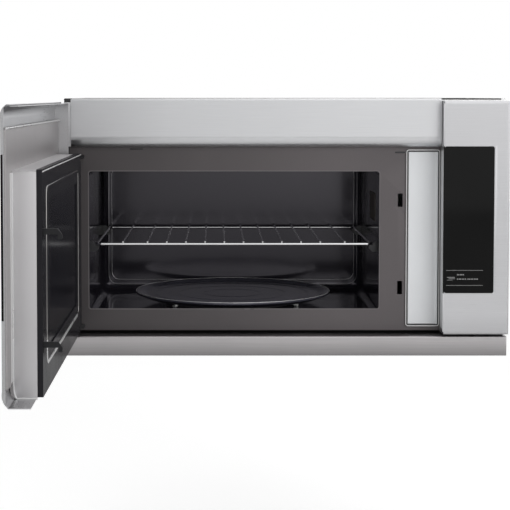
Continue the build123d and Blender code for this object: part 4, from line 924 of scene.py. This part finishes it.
# Under the front plate a black strip paints the shadow in the gap above the bottom strip.
gapShade = {
    "low": (-0.3655, 0.0346), "high": (0.2680, 0.0384), "radius": 0.0004,
    "near": -0.37925, "far": -0.37865, "edge": 0.0001,
}
addPiece("gapShade", plateFrom("gapShade", gapShade), "body", "gapBlack")

# The band has the same pale lip, with the same painted highlight and shade, along its top.
bandLip = {**panelTopLip, "low": (-0.3655, 0.4376), "high": (0.3720, 0.4399)}
addPiece("bandLip", plateFrom("bandLip", bandLip), "body", "lipPale")

# Two dark clips hold the front plate above the oven.
clips = {
    "places": [((-0.2660, 0.3515), (-0.2436, 0.3540)), ((0.1902, 0.3455), (0.2074, 0.3482))],
    "radius": 0.0008, "near": -0.3786, "far": -0.3779, "edge": 0.0003,
}
addPiece("plateClips", joined("plateClips", [
    plateFrom("clip", {**clips, "low": low, "high": high}) for low, high in clips["places"]
]), "body", "clipPlastic")

# plain sides: pressed ribs, slots, screws and mesh


def aimedPoints(points, axis, centre):
    # Turns +Z to the axis and moves the middle to the centre.
    aim = np.array(Vector((0, 0, 1)).rotation_difference(Vector(axis)).to_matrix())
    return points @ aim.T + np.asarray(centre)


screw = {
    "radius": 0.0037, "height": 0.0005, "crown": 0.3,
    "crossHalf": 0.13, "crossReach": 0.55, "crossFloor": 0.25,
}


def screwMesh(centre, axis):
    # A low dome, height 1 - crown r^3, with a cross pressed in where either middle line is near.
    steps = np.array([0.03, 0.11, 0.17, 0.3, 0.42, 0.5, 0.64, 0.82, 0.95, 1.0, 1.0])
    turn = np.linspace(0, 2 * math.pi, 32, endpoint=False)
    across, up = steps[:, None] * np.cos(turn), steps[:, None] * np.sin(turn)
    dome = 1 - screw["crown"] * steps[:, None] ** 3 + 0 * across
    nearLine = np.minimum(np.abs(across), np.abs(up)) < screw["crossHalf"]
    cross = nearLine & (steps[:, None] < screw["crossReach"])
    lift = np.where(cross, screw["crossFloor"], dome)
    lift[-1] = 0
    points = np.stack([across * screw["radius"], up * screw["radius"], lift * screw["height"]], axis=-1)
    return gridMesh("screw", aimedPoints(points, axis, centre))


ribs = {
    "rise": 0.0005,
    "root": 0.0002,  # how far a rib reaches under the sheet
    "gapRise": 0.00012,
    "lipRound": 0.0032,
    "lipWide": 0.0013,
    "gapRound": 0.0022,
    "gapInset": 0.001,
    "edges": (0.0004, 0.0003, 0.00004),  # of a rib, a slot's lip and the black plate that paints the shade in its opening
    "rear": {
        "frames": [
            ((-0.345, 0.075), (-0.135, 0.385)), ((-0.105, 0.075), (0.105, 0.385)),
            ((0.135, 0.075), (0.345, 0.385))
        ],
        "bar": 0.0090, "round": 0.018,
        "screws": [
            (-0.368, 0.02), (-0.368, 0.22), (-0.368, 0.42), (0.368, 0.02), (0.368, 0.22), (0.368, 0.42),
            (-0.12, 0.425), (0.12, 0.425), (-0.12, 0.02), (0.12, 0.02)
        ],
    },
    "top": {
        "frames": [
            ((-0.141, -0.111), (0.141, -0.0060)), ((-0.345, -0.300), (-0.185, -0.120)),
            ((0.185, -0.300), (0.295, -0.120))
        ],
        "bar": 0.0060, "round": 0.012,
        "screws": [
            (-0.36, -0.36), (0.36, -0.36), (-0.36, -0.02), (0.36, -0.10), (-0.20, -0.02), (0.20, -0.02),
            (0.0, -0.36)
        ],
    },
    "under": {
        "frames": [
            ((-0.294, -0.274), (-0.086, -0.126)), ((0.051, -0.274), (0.259, -0.126)),
            ((-0.287, -0.372), (-0.213, -0.298)), ((0.213, -0.372), (0.287, -0.298)),
            ((-0.340, -0.095), (0.340, -0.020))
        ],
        "bar": 0.0050, "round": 0.010,
        "screws": [
            (-0.36, -0.34), (0.36, -0.34), (-0.36, -0.02), (0.36, -0.02), (-0.36, -0.18), (0.36, -0.18),
            (0.0, -0.355), (-0.30, -0.20), (0.27, -0.20)
        ],
    },
    "side": {
        "frames": [((-0.345, 0.060), (-0.210, 0.395)), ((-0.170, 0.060), (-0.035, 0.395))],
        "bar": 0.0070, "round": 0.016,
        "screws": [
            (-0.366, 0.06), (-0.366, 0.23), (-0.366, 0.41), (-0.012, 0.06), (-0.012, 0.23), (-0.012, 0.41)
        ],
        "slots": [((-0.146, low), (-0.060, low + 0.0065)) for low in np.arange(0.250, 0.372, 0.0125)],
    },
}
# name, what is drawn, where the sunk sheet lies, outward step, order of axes, outward direction, its node
faces = [
    ("rear", "rear", -0.0006, 1, (0, 2, 1), (0, 1, 0), "rear_panel"),
    ("top", "top", 0.4394, 1, (0, 1, 2), (0, 0, 1), "outer_case"),
    ("under", "under", 0.0006, -1, (0, 1, 2), (0, 0, -1), "base_pan"),
    ("leftSide", "side", -0.3789, -1, (2, 0, 1), (-1, 0, 0), "outer_case"),
    ("rightSide", "side", 0.3789, 1, (2, 0, 1), (1, 0, 0), "outer_case"),
]
# node: the axis of each flat side, where it lies and where its sheet sinks to
sunk = {
    "rear_panel": [(1, 0.0, -0.0006)],
    "outer_case": [(2, 0.4400, 0.4394), (0, 0.3795, 0.3789), (0, -0.3795, -0.3789)],
    "base_pan": [(2, 0.0, 0.0006)],
}
for name, kind, level, outward, order, axis, node in faces:
    rows = ribs[kind]
    ribEdge, lipEdge, gapEdge = ribs["edges"]
    raised, root, inGap = [level + outward * step for step in (ribs["rise"], -ribs["root"], ribs["gapRise"])]
    made = [
        solidFrom(
            "rib", roundedOutline(low, high, rows["round"], 8), raised, root, ribEdge, order, bar=rows["bar"]
        )
        for low, high in rows["frames"]
    ]
    if "slots" in rows:
        made += [
            solidFrom(
                "lip", roundedOutline(low, high, ribs["lipRound"], 6),
                raised, root, lipEdge, order, bar=ribs["lipWide"]
            )
            for low, high in rows["slots"]
        ]
        # The slots are not cut: a black plate inside each lip paints the shade of the opening.
        inset = ribs["gapInset"]
        addPiece(name + "Gaps", joined(name + "Gaps", [
            solidFrom(
                "gap", roundedOutline(np.add(low, inset), np.subtract(high, inset), ribs["gapRound"], 6),
                inGap, root, gapEdge, order
            )
            for low, high in rows["slots"]
        ]), "body", "carbonBlack")
    addPiece(name + "Ribs", joined(name + "Ribs", made), "body", "caseBlack")
    heads = []
    for spot in rows["screws"]:
        place = (*spot, level)
        heads.append(screwMesh([place[which] for which in order], axis))
    addPiece(name + "Screws", joined(name + "Screws", heads), "body", "bareSteel")
print("stage: ribs, slots and screws made")

# grease filters: two layers of crossing strands

meshWork = {"pitch": 0.0055, "slope": 0.58, "radius": 0.00055, "levels": (0.0022, 0.0031), "inset": 0.008}


def strandPaths(low, high, pitch, slope, levels):
    # Straight strands y = y0 + (x - x0) / slope and their mirror image, cut where they meet the rectangle.
    paths = []
    for lean in (slope, -slope):
        reach = abs((high[0] - low[0]) / lean)
        for start in np.arange(low[1] - reach, high[1] + reach, pitch):
            ends = np.array([low[0], high[0]])
            heights = start + (ends - low[0]) / lean
            cuts = np.sort((np.array([low[1], high[1]]) - heights[0]) / (heights[1] - heights[0]))
            first, last = max(cuts[0], 0), min(cuts[1], 1)
            if last - first > 0.02:  # what is shorter, at the rectangle's corners, is left out
                span = np.array([first, last])
                x, y = low[0] + span * (high[0] - low[0]), heights[0] + span * (heights[1] - heights[0])
                paths.append(np.column_stack([x, y, [levels[lean > 0]] * 2]))
    return paths


for node in ("grease_filter_left", "grease_filter_right"):
    low, high = [np.array(corner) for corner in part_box(node)]
    inset = meshWork["inset"]
    step = meshWork["pitch"] / meshWork["slope"]
    strands = strandPaths(low[:2] + inset, high[:2] - inset, step, meshWork["slope"], meshWork["levels"])
    name = node.replace("grease_filter_", "") + "Strands"
    addPiece(name, joined(name, [
        tubeMesh("strand", path, meshWork["radius"], 4) for path in strands
    ]), bodyOf[node], "meshAluminium")

# lenses: fluted ribs
lens = {
    "middles": (-0.25, 0.25), "half": 0.0225, "pitch": 0.0045, "span": (-0.358, -0.312),
    "height": 0.0012, "radius": 0.0011,
}
flutes = []
for centre in lens["middles"]:
    for x in np.arange(centre - lens["half"], centre + lens["half"] + 0.0001, lens["pitch"]):
        run = np.linspace(*lens["span"], 6)
        path = np.column_stack([np.full(6, x), run, np.full(6, lens["height"])])
        flutes.append(tubeMesh("flute", path, lens["radius"], 8))
addPiece("lensFlutes", joined("lensFlutes", flutes), "body", "lensClear")
print("stage: mesh and flutes made")

# Every other solid keeps its own form.
ownMade = {"grip_end_panel", "turntable_tray", "grip_pad"}
for node in sorted(set(nodes) - ownMade):
    dressed(node)
print("stage: pieces made")
